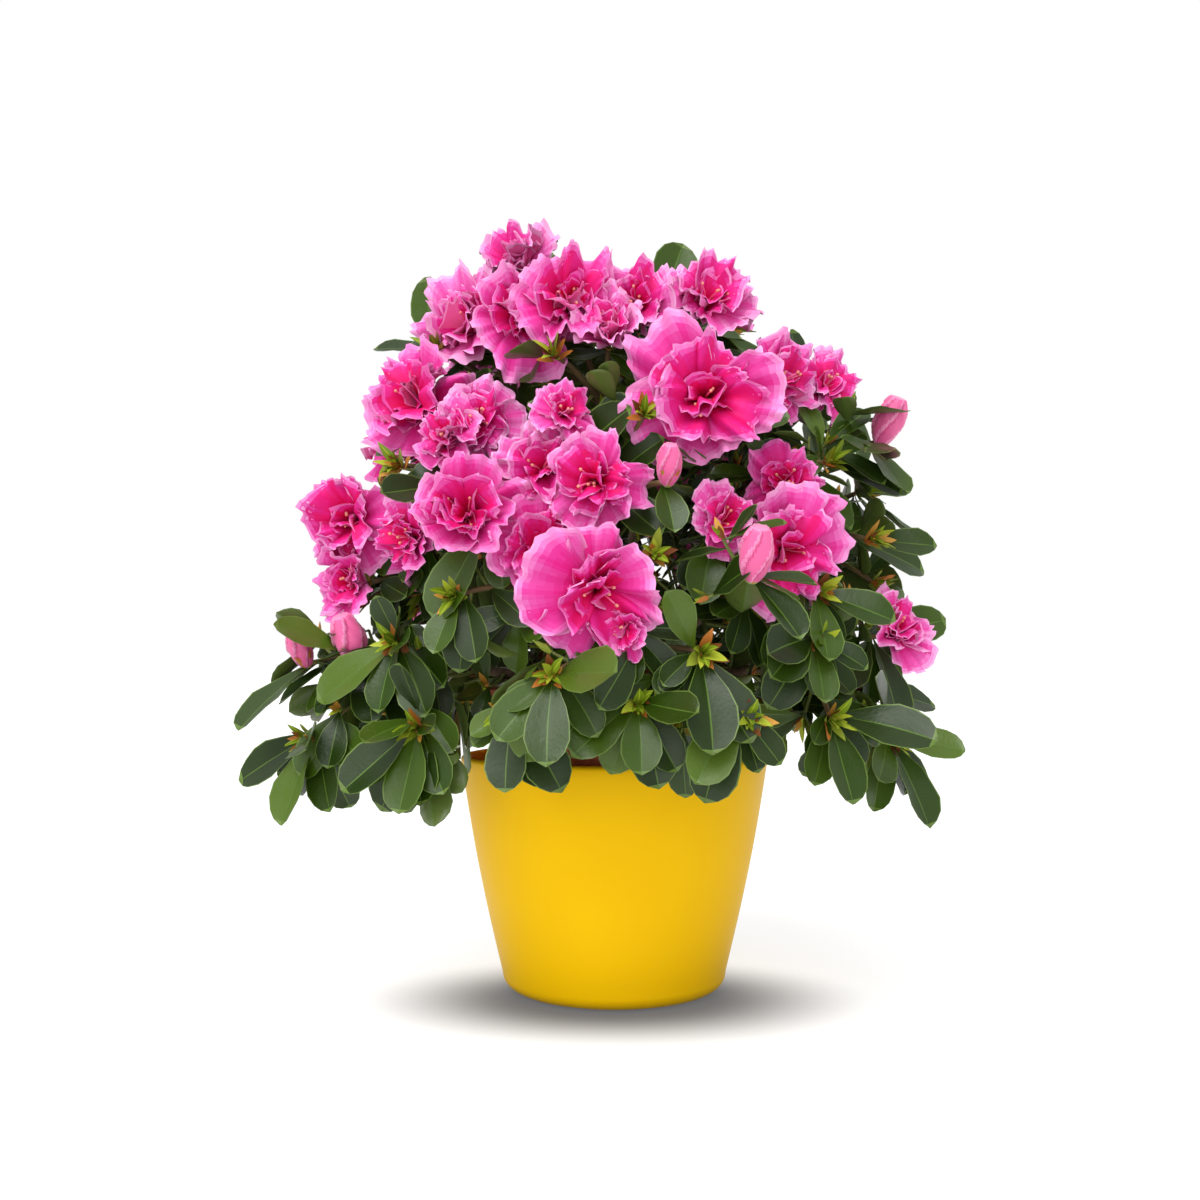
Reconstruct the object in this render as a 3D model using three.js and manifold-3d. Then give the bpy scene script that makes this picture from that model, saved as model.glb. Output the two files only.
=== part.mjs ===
// A florist's azalea: a dwarf double-flowered shrub in a clay-coloured nursery pot, which stands
// proud of the yellow glazed cover pot that it is wedged in. Millimetres, +Z up, front towards -Y.
// The origin is the centre of the cover pot's flat underside.

import * as THREE from "three";
import { mergeVertices } from "three/addons/utils/BufferGeometryUtils.js";
import Module from "manifold-3d";

const wasm = await Module();
wasm.setup();

// The gap kept between pieces that touch.
const CLEARANCE = 0.3;

// The pots and the peat between them, from the ground up.
const coverPot = {
  height: 104,
  rimRadius: 70,
  footRadius: 50.5,
  footFillet: 7,
  bulge: 1.2,
  wall: 4,
  floor: 5,
  sides: 32,
};
const nurseryPot = {
  height: 128.7,
  baseRadius: 41.5,
  shoulderRadius: 57,
  collarHeight: 20,
  collarRadius: 60,
  rimRadius: 61.5,
  wall: 1.8,
  floor: 2.4,
  sides: 26,
};
const rootBall = { belowRim: 9, crown: 2.5, inset: 0.45 };

// The crown's envelope. Shoot tips lie on a dome of this radius, upright below its middle.
const crown = { middle: 165, tipRadius: 118, tipRise: 175 };

// Shoots low on the crown point level and the top ones steeply up, but buds all stand up. All
// turn a little to the front, where the light was. Degrees, and millimetres of height.
const pointing = { steepest: 46, levelBelow: 170, steepestAt: 330, frontwards: 26, buds: 60 };

// Wood. Each bough leaves the stem at a tier and ends where it enters its mass.
const stem = { length: 46, baseRadius: 9.5, neckRadius: 7, tipRadius: 5, lean: 3, sides: 8 };
const bough = { baseRadius: 2.7, tipRadius: 1.9, sides: 5, steps: 4 };
const twig = { hubRadius: 1.7, tipRadius: 1.2, sides: 3, steps: 2, arch: 6 };

// Leaves and flowers. A leaf's width and a petal's are shares of their length.
const leaf = { length: 43, width: 0.54, thickness: 1.3, widest: 0.6 };
const rosette = {
  bloom: { count: 4, setBack: 9, opening: [66, 96] },
  bud: { count: 5, setBack: 4, opening: [72, 112] },
  leaf: { count: 6, setBack: 2, opening: [44, 94] },
};
const twigLeaves = 1;
const goldenAngle = 137.5;

// Shoots that end in a flower, a bud or leaves alone. Azimuth is in degrees round the crown from
// the front, positive to the right. Reach is a share of the envelope's radius at that height.
const bloom = (azimuth, height, diameter, reach = 1) => ({
  kind: "bloom", azimuth, height, diameter, reach,
});
const bud = (azimuth, height, length, reach = 1) => ({
  kind: "bud", azimuth, height, length, reach,
});
const leafy = (azimuth, height, reach = 1) => ({ kind: "leaf", azimuth, height, reach });

// Shoots spread evenly over a stretch of the crown's far side, where every third is a leafy one.
function spread(count, [fromAzimuth, toAzimuth], [low, high], diameter) {
  return Array.from({ length: count }, (_, i) => {
    const across = (i * 0.618 + 0.31) % 1;
    const azimuth = fromAzimuth + (toAzimuth - fromAzimuth) * across;
    const height = low + (high - low) * ((i + 0.5) / count);
    if (i % 3 === 2 || diameter === 0) return leafy(azimuth, height);
    return bloom(azimuth, height, diameter - 3 * (i % 4));
  });
}

// The foliage masses. Tier is how far up the stem a mass's bough leaves it, as a share.
const masses = [
  {
    name: "crown_left",
    tier: 1.0,
    shoots: [
      bloom(-64, 328, 42, 1.2),
      bloom(-60, 299, 52),
      bloom(-112, 302, 46),
      leafy(-84, 288, 1.0),
      leafy(-62, 281, 0.97),
    ],
  },
  {
    name: "crown_right",
    tier: 0.93,
    shoots: [
      bloom(-15, 295, 49, 1.02),
      bloom(10, 297, 44, 0.94),
      bloom(32, 299, 44, 0.97),
      bloom(-2, 279, 36, 0.94),
      bloom(-33, 291, 48),
      leafy(-16, 268, 0.93),
    ],
  },
  {
    name: "shoulder_right",
    tier: 0.7,
    shoots: [
      bloom(22, 256, 65, 1.06),
      bloom(46, 263, 40, 0.97),
      bloom(70, 267, 36, 1.06),
      bloom(41, 219, 32, 0.97),
      leafy(52, 228, 1.0),
      bud(62, 238, 22, 1.18),
    ],
  },
  {
    name: "shoulder_left",
    tier: 0.74,
    shoots: [
      bloom(-58, 259, 55, 1.0),
      bloom(-37, 247, 38, 0.93),
      bloom(-40, 236, 34, 0.97),
      bloom(-94, 248, 44),
      leafy(-54, 227, 1.0),
    ],
  },
  {
    name: "front_left",
    tier: 0.62,
    shoots: [
      bloom(-18, 221, 42, 0.92),
      bloom(-13, 243, 27, 0.95),
      bloom(-3, 217, 42, 1.0),
      bud(10, 214, 17),
      leafy(6, 242, 0.95),
    ],
  },
  {
    name: "left",
    tier: 0.5,
    shoots: [
      bloom(-62, 208, 45, 1.12),
      bloom(-63, 179, 36, 1.06),
      bloom(-48, 197, 36, 0.97),
      bloom(-93, 210, 40),
      leafy(-72, 172, 0.97),
    ],
  },
  {
    name: "front",
    tier: 0.36,
    shoots: [
      bloom(-30, 203, 50, 1.05),
      bloom(-18, 191, 42, 0.92),
      bloom(-5, 177, 51, 1.07),
      leafy(7, 187, 0.97),
      leafy(-33, 172, 0.97),
    ],
  },
  {
    name: "front_right",
    tier: 0.46,
    shoots: [
      bloom(35, 196, 54, 1.0),
      bloom(22, 201, 30, 0.92),
      bud(20, 177, 22, 1.2),
      leafy(44, 174, 0.98),
      leafy(42, 154, 1.0),
    ],
  },
  {
    name: "right",
    tier: 0.86,
    shoots: [
      leafy(61, 197, 1.04),
      leafy(74, 180, 1.0),
      leafy(88, 224, 1.02),
      bloom(104, 200, 36),
      leafy(100, 262, 0.97),
    ],
  },
  {
    name: "skirt_left",
    tier: 0.24,
    shoots: [
      leafy(-38, 121, 1.05),
      bud(-60, 146, 24, 1.04),
      bud(-66, 145, 17, 1.2),
      leafy(-62, 115, 1.2),
      leafy(-98, 128, 1.06),
      leafy(-48, 154, 1.0),
    ],
  },
  {
    name: "skirt_front",
    tier: 0.1,
    shoots: [
      leafy(-12, 142),
      leafy(-22, 128, 0.92),
      leafy(4, 131, 0.94),
      leafy(16, 150, 0.98),
      bloom(2, 160, 22, 1.02),
      leafy(24, 126, 1.02),
    ],
  },
  {
    name: "skirt_right",
    tier: 0.26,
    shoots: [
      leafy(65, 113, 1.08),
      leafy(46, 124, 1.0),
      leafy(100, 132, 1.04),
      bloom(66, 157, 36, 1.12),
    ],
  },
  {
    name: "crown_top",
    tier: 0.99,
    shoots: [
      bloom(176, 320, 48, 0.95),
      leafy(118, 306, 0.9),
      bloom(124, 312, 42),
      leafy(215, 320, 0.9),
      leafy(60, 302, 0.3),
    ],
  },
  { name: "back_crown", tier: 0.84, shoots: spread(5, [130, 234], [254, 291], 52) },
  { name: "back_left", tier: 0.42, shoots: spread(5, [208, 246], [168, 250], 52) },
  { name: "back", tier: 0.6, shoots: spread(4, [162, 200], [166, 244], 54) },
  { name: "back_right", tier: 0.52, shoots: spread(5, [114, 156], [170, 250], 52) },
  { name: "skirt_back_left", tier: 0.18, shoots: spread(4, [190, 240], [122, 160], 0) },
  { name: "skirt_back_right", tier: 0.1, shoots: spread(4, [124, 176], [122, 160], 0) },
];

const nurseryPotBase = coverPot.floor + CLEARANCE;
const nurseryPotTop = nurseryPotBase + nurseryPot.height;
const soilTop = nurseryPotTop - rootBall.belowRim;
const up = new THREE.Vector3(0, 0, 1);

// Numbers from 0 to 1 that are the same on every run.
function seeded(seed) {
  let state = seed;
  return () => {
    state = (state * 48271) % 2147483647;
    return state / 2147483647;
  };
}

// A closed geometry as a solid.
function solidFrom(geometry) {
  const bare = geometry.index ? geometry.toNonIndexed() : geometry.clone();
  bare.deleteAttribute("normal");
  bare.deleteAttribute("uv");
  const merged = mergeVertices(bare, 1e-4);
  return new wasm.Manifold(
    new wasm.Mesh({
      numProp: 3,
      vertProperties: merged.attributes.position.array,
      triVerts: new Uint32Array(merged.index.array),
    }),
  );
}

function geometryFrom(solid) {
  const mesh = solid.getMesh();
  const geometry = new THREE.BufferGeometry();
  geometry.setAttribute("position", new THREE.BufferAttribute(mesh.vertProperties, 3));
  geometry.setIndex(new THREE.BufferAttribute(mesh.triVerts, 1));
  geometry.computeVertexNormals();
  return geometry;
}

// A turned solid standing on +Z, from a profile of [radius, height] that runs up the outside.
function turned(profile, sides) {
  const points = profile.map(([radius, height]) => new THREE.Vector2(radius, height));
  return new THREE.LatheGeometry(points, sides).rotateX(Math.PI / 2);
}

// Points of an arc, as [radius, height] pairs.
function arc([centreRadius, centreHeight], radius, fromDegrees, toDegrees, steps) {
  return Array.from({ length: steps + 1 }, (_, i) => {
    const angle = THREE.MathUtils.degToRad(fromDegrees + ((toDegrees - fromDegrees) * i) / steps);
    return [centreRadius + radius * Math.cos(angle), centreHeight + radius * Math.sin(angle)];
  });
}

// The radius of the cover pot's outer wall, which swells a little between foot and rim.
function coverPotRadius(height) {
  const share = (height - coverPot.footFillet) / (coverPot.height - coverPot.footFillet);
  const straight = coverPot.footRadius + (coverPot.rimRadius - coverPot.footRadius) * share;
  return straight + coverPot.bulge * Math.sin(Math.PI * share);
}

function coverPotGeometry() {
  const { height, footRadius, footFillet, wall, floor, sides } = coverPot;
  const wallSteps = [0.25, 0.5, 0.75];
  const lip = wall / 2;
  const outer = wallSteps.map((share) => {
    const level = footFillet + (height - lip - footFillet) * share;
    return [coverPotRadius(level), level];
  });
  const inner = [[coverPotRadius(height / 2) - wall, height / 2]];
  const profile = [
    [0, 0],
    ...arc([footRadius - footFillet, footFillet], footFillet, -90, 0, 3),
    ...outer,
    ...arc([coverPotRadius(height - lip) - lip, height - lip], lip, 0, 180, 3),
    ...inner,
    [footRadius - wall + 0.6, floor + 4],
    [footRadius - wall - 4, floor],
    [0, floor],
  ];
  return turned(profile, sides);
}

function nurseryPotGeometry() {
  const { baseRadius, shoulderRadius, collarHeight, collarRadius, rimRadius } = nurseryPot;
  const { height, wall, floor, sides } = nurseryPot;
  const collar = height - collarHeight;
  const profile = [
    [0, 0],
    [baseRadius, 0],
    [shoulderRadius, collar - 2],
    [collarRadius, collar],
    [rimRadius, height],
    [rimRadius - wall, height],
    [collarRadius - wall, collar],
    [shoulderRadius - wall, collar - 4],
    [baseRadius - wall, floor],
    [0, floor],
  ];
  return turned(profile, sides).translate(0, 0, nurseryPotBase);
}

// Peat that fills the nursery pot to a little below its rim.
function rootBallGeometry() {
  const { shoulderRadius, baseRadius, collarRadius, collarHeight } = nurseryPot;
  const { height, wall, floor } = nurseryPot;
  const inset = wall + rootBall.inset;
  const collar = height - collarHeight;
  const top = height - rootBall.belowRim;
  const profile = [
    [0, floor + CLEARANCE],
    [baseRadius - inset, floor + CLEARANCE],
    [shoulderRadius - inset, collar - 4],
    [collarRadius - inset, collar],
    [collarRadius - inset, top - rootBall.crown],
    [collarRadius * 0.6, top - rootBall.crown * 0.3],
    [stem.baseRadius + 3, top],
    [0, top],
  ];
  return turned(profile, nurseryPot.sides).translate(0, 0, nurseryPotBase);
}

// Two directions square to a third.
function squareTo(way) {
  const across = new THREE.Vector3().crossVectors(way, up);
  if (across.lengthSq() < 0.001) across.set(1, 0, 0);
  across.normalize();
  return [across, new THREE.Vector3().crossVectors(way, across).normalize()];
}

// A tapering limb: a closed cylinder bent along a curve, with its ends square to the curve.
function limbGeometry(curve, radiusAt, sides, steps) {
  const geometry = new THREE.CylinderGeometry(1, 1, 1, sides, steps);
  const [side] = squareTo(curve.getPoint(1).sub(curve.getPoint(0)).normalize());
  const position = geometry.getAttribute("position");
  for (let i = 0; i < position.count; i += 1) {
    const share = position.getY(i) + 0.5;
    const over = new THREE.Vector3().crossVectors(side, curve.getTangent(share)).normalize();
    const radius = radiusAt(share);
    const point = curve
      .getPoint(share)
      .addScaledVector(side, position.getX(i) * radius)
      .addScaledVector(over, position.getZ(i) * radius);
    position.setXYZ(i, point.x, point.y, point.z);
  }
  return geometry;
}

// The main stem, from a flat cut on the peat to the tip that the top boughs leave.
const stemFoot = new THREE.Vector3(0, 0, soilTop + CLEARANCE);
const stemTip = new THREE.Vector3(stem.lean, stem.lean / 2, soilTop + stem.length);
const stemCurve = new THREE.LineCurve3(stemFoot, stemTip);

function stemRadius(share) {
  const { baseRadius, neckRadius, tipRadius } = stem;
  const flare = (baseRadius - neckRadius) * Math.max(0, 1 - share / 0.3) ** 2;
  return neckRadius + (tipRadius - neckRadius) * share + flare;
}

// A flat foot: the lowest ring is laid level on the peat.
function stemGeometry(extra = 0) {
  const geometry = limbGeometry(stemCurve, (share) => stemRadius(share) + extra, stem.sides, 6);
  const position = geometry.getAttribute("position");
  for (let i = 0; i < position.count; i += 1) {
    if (position.getZ(i) < stemFoot.z + 1.5) position.setZ(i, stemFoot.z);
  }
  return geometry;
}

// The way a shoot points.
function tipAxis({ azimuth, height, kind }) {
  const rise = (height - pointing.levelBelow) / (pointing.steepestAt - pointing.levelBelow);
  const steepness = pointing.steepest * THREE.MathUtils.clamp(rise, 0, 1) ** 1.5;
  const lift = THREE.MathUtils.degToRad(kind === "bud" ? pointing.buds : steepness);
  const straight = THREE.MathUtils.degToRad(azimuth);
  const angle = straight - THREE.MathUtils.degToRad(pointing.frontwards) * Math.sin(straight);
  const level = Math.cos(lift);
  return new THREE.Vector3(level * Math.sin(angle), -level * Math.cos(angle), Math.sin(lift));
}

// Where a shoot's twig ends: on the crown's envelope, or below the middle of its flower there.
function tipPlace({ azimuth, height, reach, kind, diameter }) {
  const rise = Math.max(0, height - crown.middle) / crown.tipRise;
  const radius = crown.tipRadius * Math.sqrt(1 - rise * rise) * reach;
  const angle = THREE.MathUtils.degToRad(azimuth);
  const place = new THREE.Vector3(radius * Math.sin(angle), -radius * Math.cos(angle), height);
  if (kind !== "bloom") return place;
  return place.addScaledVector(tipAxis({ azimuth, height }), -0.28 * diameter);
}

// Each mass's shoot tips, their middle, its hub where the twigs part and its bough's curve.
for (const mass of masses) {
  mass.tips = mass.shoots.map((shoot) => ({ ...shoot, place: tipPlace(shoot) }));
  mass.middle = mass.tips
    .reduce((sum, tip) => sum.add(tip.place), new THREE.Vector3())
    .divideScalar(mass.tips.length);
  const low = THREE.MathUtils.clamp((190 - mass.middle.z) / 60, 0, 1);
  const heart = stemCurve.getPoint(mass.tier * 0.92);
  mass.hub = heart.clone().lerp(mass.middle, 0.75).addScaledVector(up, 12 * low);
  const aside = mass.hub.clone().sub(heart).setZ(0).normalize();
  const from = heart.addScaledVector(aside, stem.tipRadius * 0.6);
  const root = from.clone().lerp(mass.hub, 0.88).addScaledVector(up, 2);
  const bend = from.clone().lerp(root, 0.72).setZ(from.z + (root.z - from.z) * 0.4);
  mass.boughCurve = new THREE.QuadraticBezierCurve3(from, bend, root);
  mass.rootWay = mass.boughCurve.getTangent(1);
  mass.root = root.clone().addScaledVector(mass.rootWay, CLEARANCE);
}

const boughRadius = (share) =>
  bough.baseRadius + (bough.tipRadius - bough.baseRadius) * share;

// A mass's space is all that is nearer to its own middle than to any other mass's.
function spaceOf(mass) {
  return masses
    .filter((other) => other !== mass)
    .map((other) => {
      const out = other.middle.clone().sub(mass.middle);
      const half = out.length() / 2;
      out.normalize();
      return { out, offset: out.dot(mass.middle) + half - CLEARANCE };
    });
}

function insideSpace(space, point) {
  return space.every(({ out, offset }) => out.dot(point) < offset);
}

// True where a point would touch a pot, the peat, the stem or a bough.
function touchesLimbOrPot(point) {
  const margin = 1.5;
  const radius = Math.hypot(point.x, point.y);
  if (point.z < nurseryPotTop + margin && radius < nurseryPot.rimRadius + margin) return true;
  if (point.z < coverPot.height + margin && radius < coverPot.rimRadius + 2 * margin) return true;
  if (point.z < margin) return true;
  return limbPoints.some(
    (limb) => limb.place.distanceToSquared(point) < (limb.radius + margin) ** 2,
  );
}

const limbPoints = [];
for (let i = 0; i <= 10; i += 1) {
  limbPoints.push({ place: stemCurve.getPoint(i / 10), radius: stemRadius(i / 10) });
}
for (const mass of masses) {
  for (let i = 0; i <= 24; i += 1) {
    limbPoints.push({ place: mass.boughCurve.getPoint(i / 24), radius: boughRadius(i / 24) });
  }
}

// A leaf's outline: its root, right corner, tip and left corner, from its root on.
function leafOutline({ base, way, side, size }, from = 0) {
  const half = (size * leaf.width) / 2;
  const broad = base.clone().addScaledVector(way, size * leaf.widest);
  return [
    base.clone().addScaledVector(way, size * from),
    broad.clone().addScaledVector(side, half),
    base.clone().addScaledVector(way, size),
    broad.addScaledVector(side, -half),
  ];
}

// A leaf of eight faces: its outline with a ridge along the top and a keel below.
function leafGeometry(blade) {
  const outline = leafOutline(blade);
  const face = new THREE.Vector3().crossVectors(blade.side, blade.way);
  const broad = blade.base.clone().addScaledVector(blade.way, blade.size * leaf.widest);
  const top = broad.clone().addScaledVector(face, leaf.thickness / 2);
  const under = broad.addScaledVector(face, -leaf.thickness / 2);
  const triangles = outline.flatMap((corner, i) => {
    const next = outline[(i + 1) % 4];
    return [top, corner, next, under, next, corner];
  });
  return new THREE.BufferGeometry().setFromPoints(triangles);
}

// True where the line between two points passes through a triangle.
function pierces(from, to, [a, b, c]) {
  const spin = (p, q, r, s) => {
    const across = new THREE.Vector3().crossVectors(r.clone().sub(p), s.clone().sub(p));
    return q.clone().sub(p).dot(across) > 0;
  };
  if (spin(from, a, b, c) === spin(to, a, b, c)) return false;
  const turn = spin(from, to, a, b);
  return turn === spin(from, to, b, c) && turn === spin(from, to, c, a);
}

// True where two leaves cross, away from the roots that they may share.
function leavesCross(one, other) {
  if (one.base.distanceTo(other.base) > one.size + other.size) return false;
  const cuts = (edges, [root, right, tip, left]) =>
    edges.some((corner, i) => {
      const next = edges[(i + 1) % 4];
      return pierces(corner, next, [root, right, tip]) || pierces(corner, next, [root, tip, left]);
    });
  const a = leafOutline(one, 0.15);
  const b = leafOutline(other, 0.15);
  return cuts(a, b) || cuts(b, a);
}

// True where a leaf is pierced by a twig, whose root it may share.
function crossesTwig(blade, curve) {
  const [root, right, tip, left] = leafOutline(blade, 0.15);
  for (let step = 0; step < twig.steps; step += 1) {
    const from = curve.getPoint(step / twig.steps);
    const to = curve.getPoint((step + 1) / twig.steps);
    if (pierces(from, to, [root, right, tip]) || pierces(from, to, [root, tip, left])) return true;
  }
  return false;
}

// True where a point would be in among a flower's petals.
function insideFlower({ base, axis, diameter }, point) {
  const from = point.clone().sub(base);
  const high = from.dot(axis);
  const aside = Math.sqrt(Math.max(0, from.lengthSq() - high * high));
  return aside < diameter * 0.52 && high > diameter * 0.04 + aside * 0.3 && high < diameter * 0.55;
}

// The way that a leaf grows from a shoot: turned round the shoot's axis and drooping by its weight.
function leafWay(axis, turn, opening, droop) {
  const [across, over] = squareTo(axis);
  return axis
    .clone()
    .multiplyScalar(Math.cos(opening))
    .addScaledVector(across, Math.sin(opening) * Math.cos(turn))
    .addScaledVector(over, Math.sin(opening) * Math.sin(turn))
    .addScaledVector(up, -droop)
    .normalize();
}

// A leaf that fits its mass's space and crosses nothing, made smaller to do so, or nothing.
function fittedLeaf({ space, shoots, flowers, leaves }, base, way, axis, length) {
  const face = axis.clone().addScaledVector(up, 0.5);
  const side = new THREE.Vector3().crossVectors(way, face).normalize();
  for (const share of [1, 0.8, 0.62]) {
    const blade = { base, way, side, size: length * share };
    const [, right, tip, left] = leafOutline(blade);
    const spots = [right, tip, left, right.clone().lerp(tip, 0.5), left.clone().lerp(tip, 0.5)];
    spots.push(right.clone().lerp(left, 0.5), base.clone().lerp(tip, 0.3));
    const clear = spots.every(
      (spot) =>
        insideSpace(space, spot) &&
        !touchesLimbOrPot(spot) &&
        !flowers.some((flower) => insideFlower(flower, spot)),
    );
    if (!clear || shoots.some(({ curve }) => crossesTwig(blade, curve))) continue;
    if (!leaves.some((other) => leavesCross(blade, other))) return blade;
  }
  return null;
}

// The rings of a double flower from its foot to its throat, in shares of its diameter: the
// petals' underside, their margin, the fold between the whorls and the inner petals' margin.
const flowerRings = [
  { corners: 5, radius: 0.21, height: 0.12, lobe: 0, ruffle: 0, turn: 0 },
  { corners: 10, radius: 0.5, height: 0.3, lobe: 0.15, ruffle: 0.045, turn: 0 },
  { corners: 5, radius: 0.2, height: 0.21, lobe: 0, ruffle: 0, turn: 0 },
  { corners: 5, radius: 0.29, height: 0.4, lobe: 0, ruffle: 0.04, turn: 0 },
];

// A double flower as one shell, five broad petals laid open round five smaller upright ones.
function flowerGeometry({ base, axis, diameter, turn }, random) {
  const [across, over] = squareTo(axis);
  const at = (radius, height, angle) =>
    base
      .clone()
      .addScaledVector(axis, height * diameter)
      .addScaledVector(across, radius * diameter * Math.cos(angle))
      .addScaledVector(over, radius * diameter * Math.sin(angle));
  const rings = flowerRings.map(({ corners, radius, height, lobe, ruffle }) =>
    Array.from({ length: corners }, (_, i) => {
      const notched = corners === 10 && i % 2 === 1;
      const lift = ruffle * (2 * random() - 1);
      return at(notched ? radius * (1 - lobe) : radius, height + lift, turn + (2 * Math.PI * i) / corners);
    }),
  );
  const [under, margin, fold, inner] = rings;
  const foot = at(0, -0.03, 0);
  const throat = at(0, 0.22, 0);
  const triangles = [];
  for (let i = 0; i < 5; i += 1) {
    const next = (i + 1) % 5;
    const [tip, notch, nextTip] = [margin[2 * i], margin[2 * i + 1], margin[(2 * i + 2) % 10]];
    triangles.push(foot, under[next], under[i]);
    triangles.push(under[i], notch, tip, under[i], under[next], notch, under[next], nextTip, notch);
    triangles.push(fold[i], tip, notch, fold[next], fold[i], notch, fold[next], notch, nextTip);
    triangles.push(fold[i], fold[next], inner[next], fold[i], inner[next], inner[i]);
    triangles.push(inner[i], inner[next], throat);
  }
  return new THREE.BufferGeometry().setFromPoints(triangles);
}

// A closed bud: a spindle on the shoot's axis.
function budGeometry(base, axis, length) {
  const spindle = new THREE.SphereGeometry(1, 6, 4);
  spindle.scale(length * 0.27, length / 2, length * 0.27);
  spindle.translate(0, length * 0.4, 0);
  spindle.applyQuaternion(new THREE.Quaternion().setFromUnitVectors(new THREE.Vector3(0, 1, 0), axis));
  return spindle.translate(base.x, base.y, base.z);
}

// A point inside a twig, whose straight steps cut the corners of its curve.
function insideTwig(curve, share) {
  const step = Math.min(twig.steps - 1, Math.floor(share * twig.steps));
  const from = curve.getPoint(step / twig.steps);
  return from.lerp(curve.getPoint((step + 1) / twig.steps), share * twig.steps - step);
}

// What a foliage mass carries: a twig to each shoot's tip, and its flowers, buds and leaves.
function growth(mass, index) {
  const space = spaceOf(mass);
  const shoots = mass.tips.map((tip, order) => {
    const random = seeded(1013 * (index + 1) + 101 * (order + 1));
    const axis = tipAxis(tip);
    const from = mass.hub.clone().lerp(mass.root, 0.1);
    const bend = mass.hub.clone().lerp(tip.place, 0.55).addScaledVector(up, twig.arch);
    const curve = new THREE.QuadraticBezierCurve3(from, bend, tip.place);
    return { tip, random, axis, curve, base: insideTwig(curve, 0.97), start: random() * 360 };
  });
  const flowers = shoots
    .filter(({ tip }) => tip.kind === "bloom")
    .map(({ tip, axis, base, start, random }) => {
      return { base, axis, diameter: tip.diameter, turn: start, random };
    });
  const leaves = [];
  for (const { tip, random, axis, curve, start } of shoots) {
    const low = THREE.MathUtils.clamp((250 - tip.place.z) / 120, 0, 1);
    const { count, setBack, opening } = rosette[tip.kind];
    for (let i = 0; i < count + twigLeaves; i += 1) {
      const onTwig = i >= count;
      const turn = THREE.MathUtils.degToRad(start + goldenAngle * i);
      const share = onTwig ? 0.55 + 0.25 * random() : 1 - (setBack + i) / 60;
      const open = onTwig ? 70 : opening[0] + (opening[1] - opening[0]) * (i / count);
      const droop = (0.15 + 0.95 * low) * (0.4 + 0.6 * random());
      const length = leaf.length * (0.72 + 0.4 * random());
      const way = leafWay(axis, turn, THREE.MathUtils.degToRad(open), droop);
      const base = insideTwig(curve, share);
      const blade = fittedLeaf({ space, shoots, flowers, leaves }, base, way, axis, length);
      if (blade) leaves.push(blade);
    }
  }
  return { space, shoots, flowers, leaves };
}

const twigRadius = (share) => twig.hubRadius + (twig.tipRadius - twig.hubRadius) * share;

// One foliage mass as a solid, kept to its own space.
function massSolid(mass, index) {
  const { space, shoots, flowers, leaves } = growth(mass, index);
  const middle = mass.root.clone().addScaledVector(
    mass.rootWay,
    mass.root.distanceTo(mass.hub) * 0.4,
  );
  const stub = new THREE.QuadraticBezierCurve3(mass.root, middle, mass.hub);
  const pieces = [
    limbGeometry(stub, () => bough.tipRadius, 5, 2),
    ...shoots.map(({ curve }) => limbGeometry(curve, twigRadius, twig.sides, twig.steps)),
    ...flowers.map((flower) => flowerGeometry(flower, flower.random)),
    ...shoots
      .filter(({ tip }) => tip.kind === "bud")
      .map(({ tip, base, axis }) => budGeometry(base, axis, tip.length)),
    ...leaves.map(leafGeometry),
  ];
  let solid = wasm.Manifold.union(pieces.map(solidFrom));
  for (const { out, offset } of space) {
    solid = solid.trimByPlane([-out.x, -out.y, -out.z], -offset);
  }
  return largestBody(solid);
}

// The largest body alone, without the scraps and the tiny edges that a cut leaves.
function largestBody(solid) {
  const bodies = solid.asOriginal().simplify(0.04).decompose();
  return bodies.sort((a, b) => b.volume() - a.volume())[0];
}

// A bough, cut off where it meets the stem.
function boughSolid(mass) {
  const solid = solidFrom(limbGeometry(mass.boughCurve, boughRadius, bough.sides, bough.steps));
  return largestBody(solid.subtract(solidFrom(stemGeometry(CLEARANCE))));
}

const finishes = {
  glaze: new THREE.MeshStandardMaterial({ color: 0xf2bd14, roughness: 0.3, metalness: 0 }),
  clay: new THREE.MeshStandardMaterial({ color: 0xc9735a, roughness: 0.7, metalness: 0 }),
  peat: new THREE.MeshStandardMaterial({ color: 0x2c1d14, roughness: 1, metalness: 0 }),
  bark: new THREE.MeshStandardMaterial({ color: 0x5a4632, roughness: 0.9, metalness: 0 }),
  flowers: new THREE.MeshStandardMaterial({ color: 0xe8459a, roughness: 0.6, metalness: 0 }),
  leaves: new THREE.MeshStandardMaterial({ color: 0x2f4a24, roughness: 0.5, metalness: 0 }),
};

const azalea = new THREE.Group();
function add(name, geometry, finish) {
  const mesh = new THREE.Mesh(geometry, finish);
  mesh.name = name;
  azalea.add(mesh);
}

add("cover_pot", coverPotGeometry(), finishes.glaze);
add("nursery_pot", nurseryPotGeometry(), finishes.clay);
add("root_ball", rootBallGeometry(), finishes.peat);
add("stem", stemGeometry(), finishes.bark);
masses.forEach((mass, index) => {
  const flowering = mass.shoots.some((shoot) => shoot.kind === "bloom");
  add(`${mass.name}_bough`, geometryFrom(boughSolid(mass)), finishes.bark);
  const finish = flowering ? finishes.flowers : finishes.leaves;
  add(`${mass.name}_foliage`, geometryFrom(massSolid(mass, index)), finish);
});

export default azalea;
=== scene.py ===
# The azalea dressed for looks: the same growth rule as the solids, in millimetres, carried to finer
# twigs and leaves, with ruffled petals, buds, bark, peat and smooth pots. Blender gets metres.

from math import cos, hypot, pi, radians, sin, sqrt
from types import SimpleNamespace as Sizes

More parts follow.
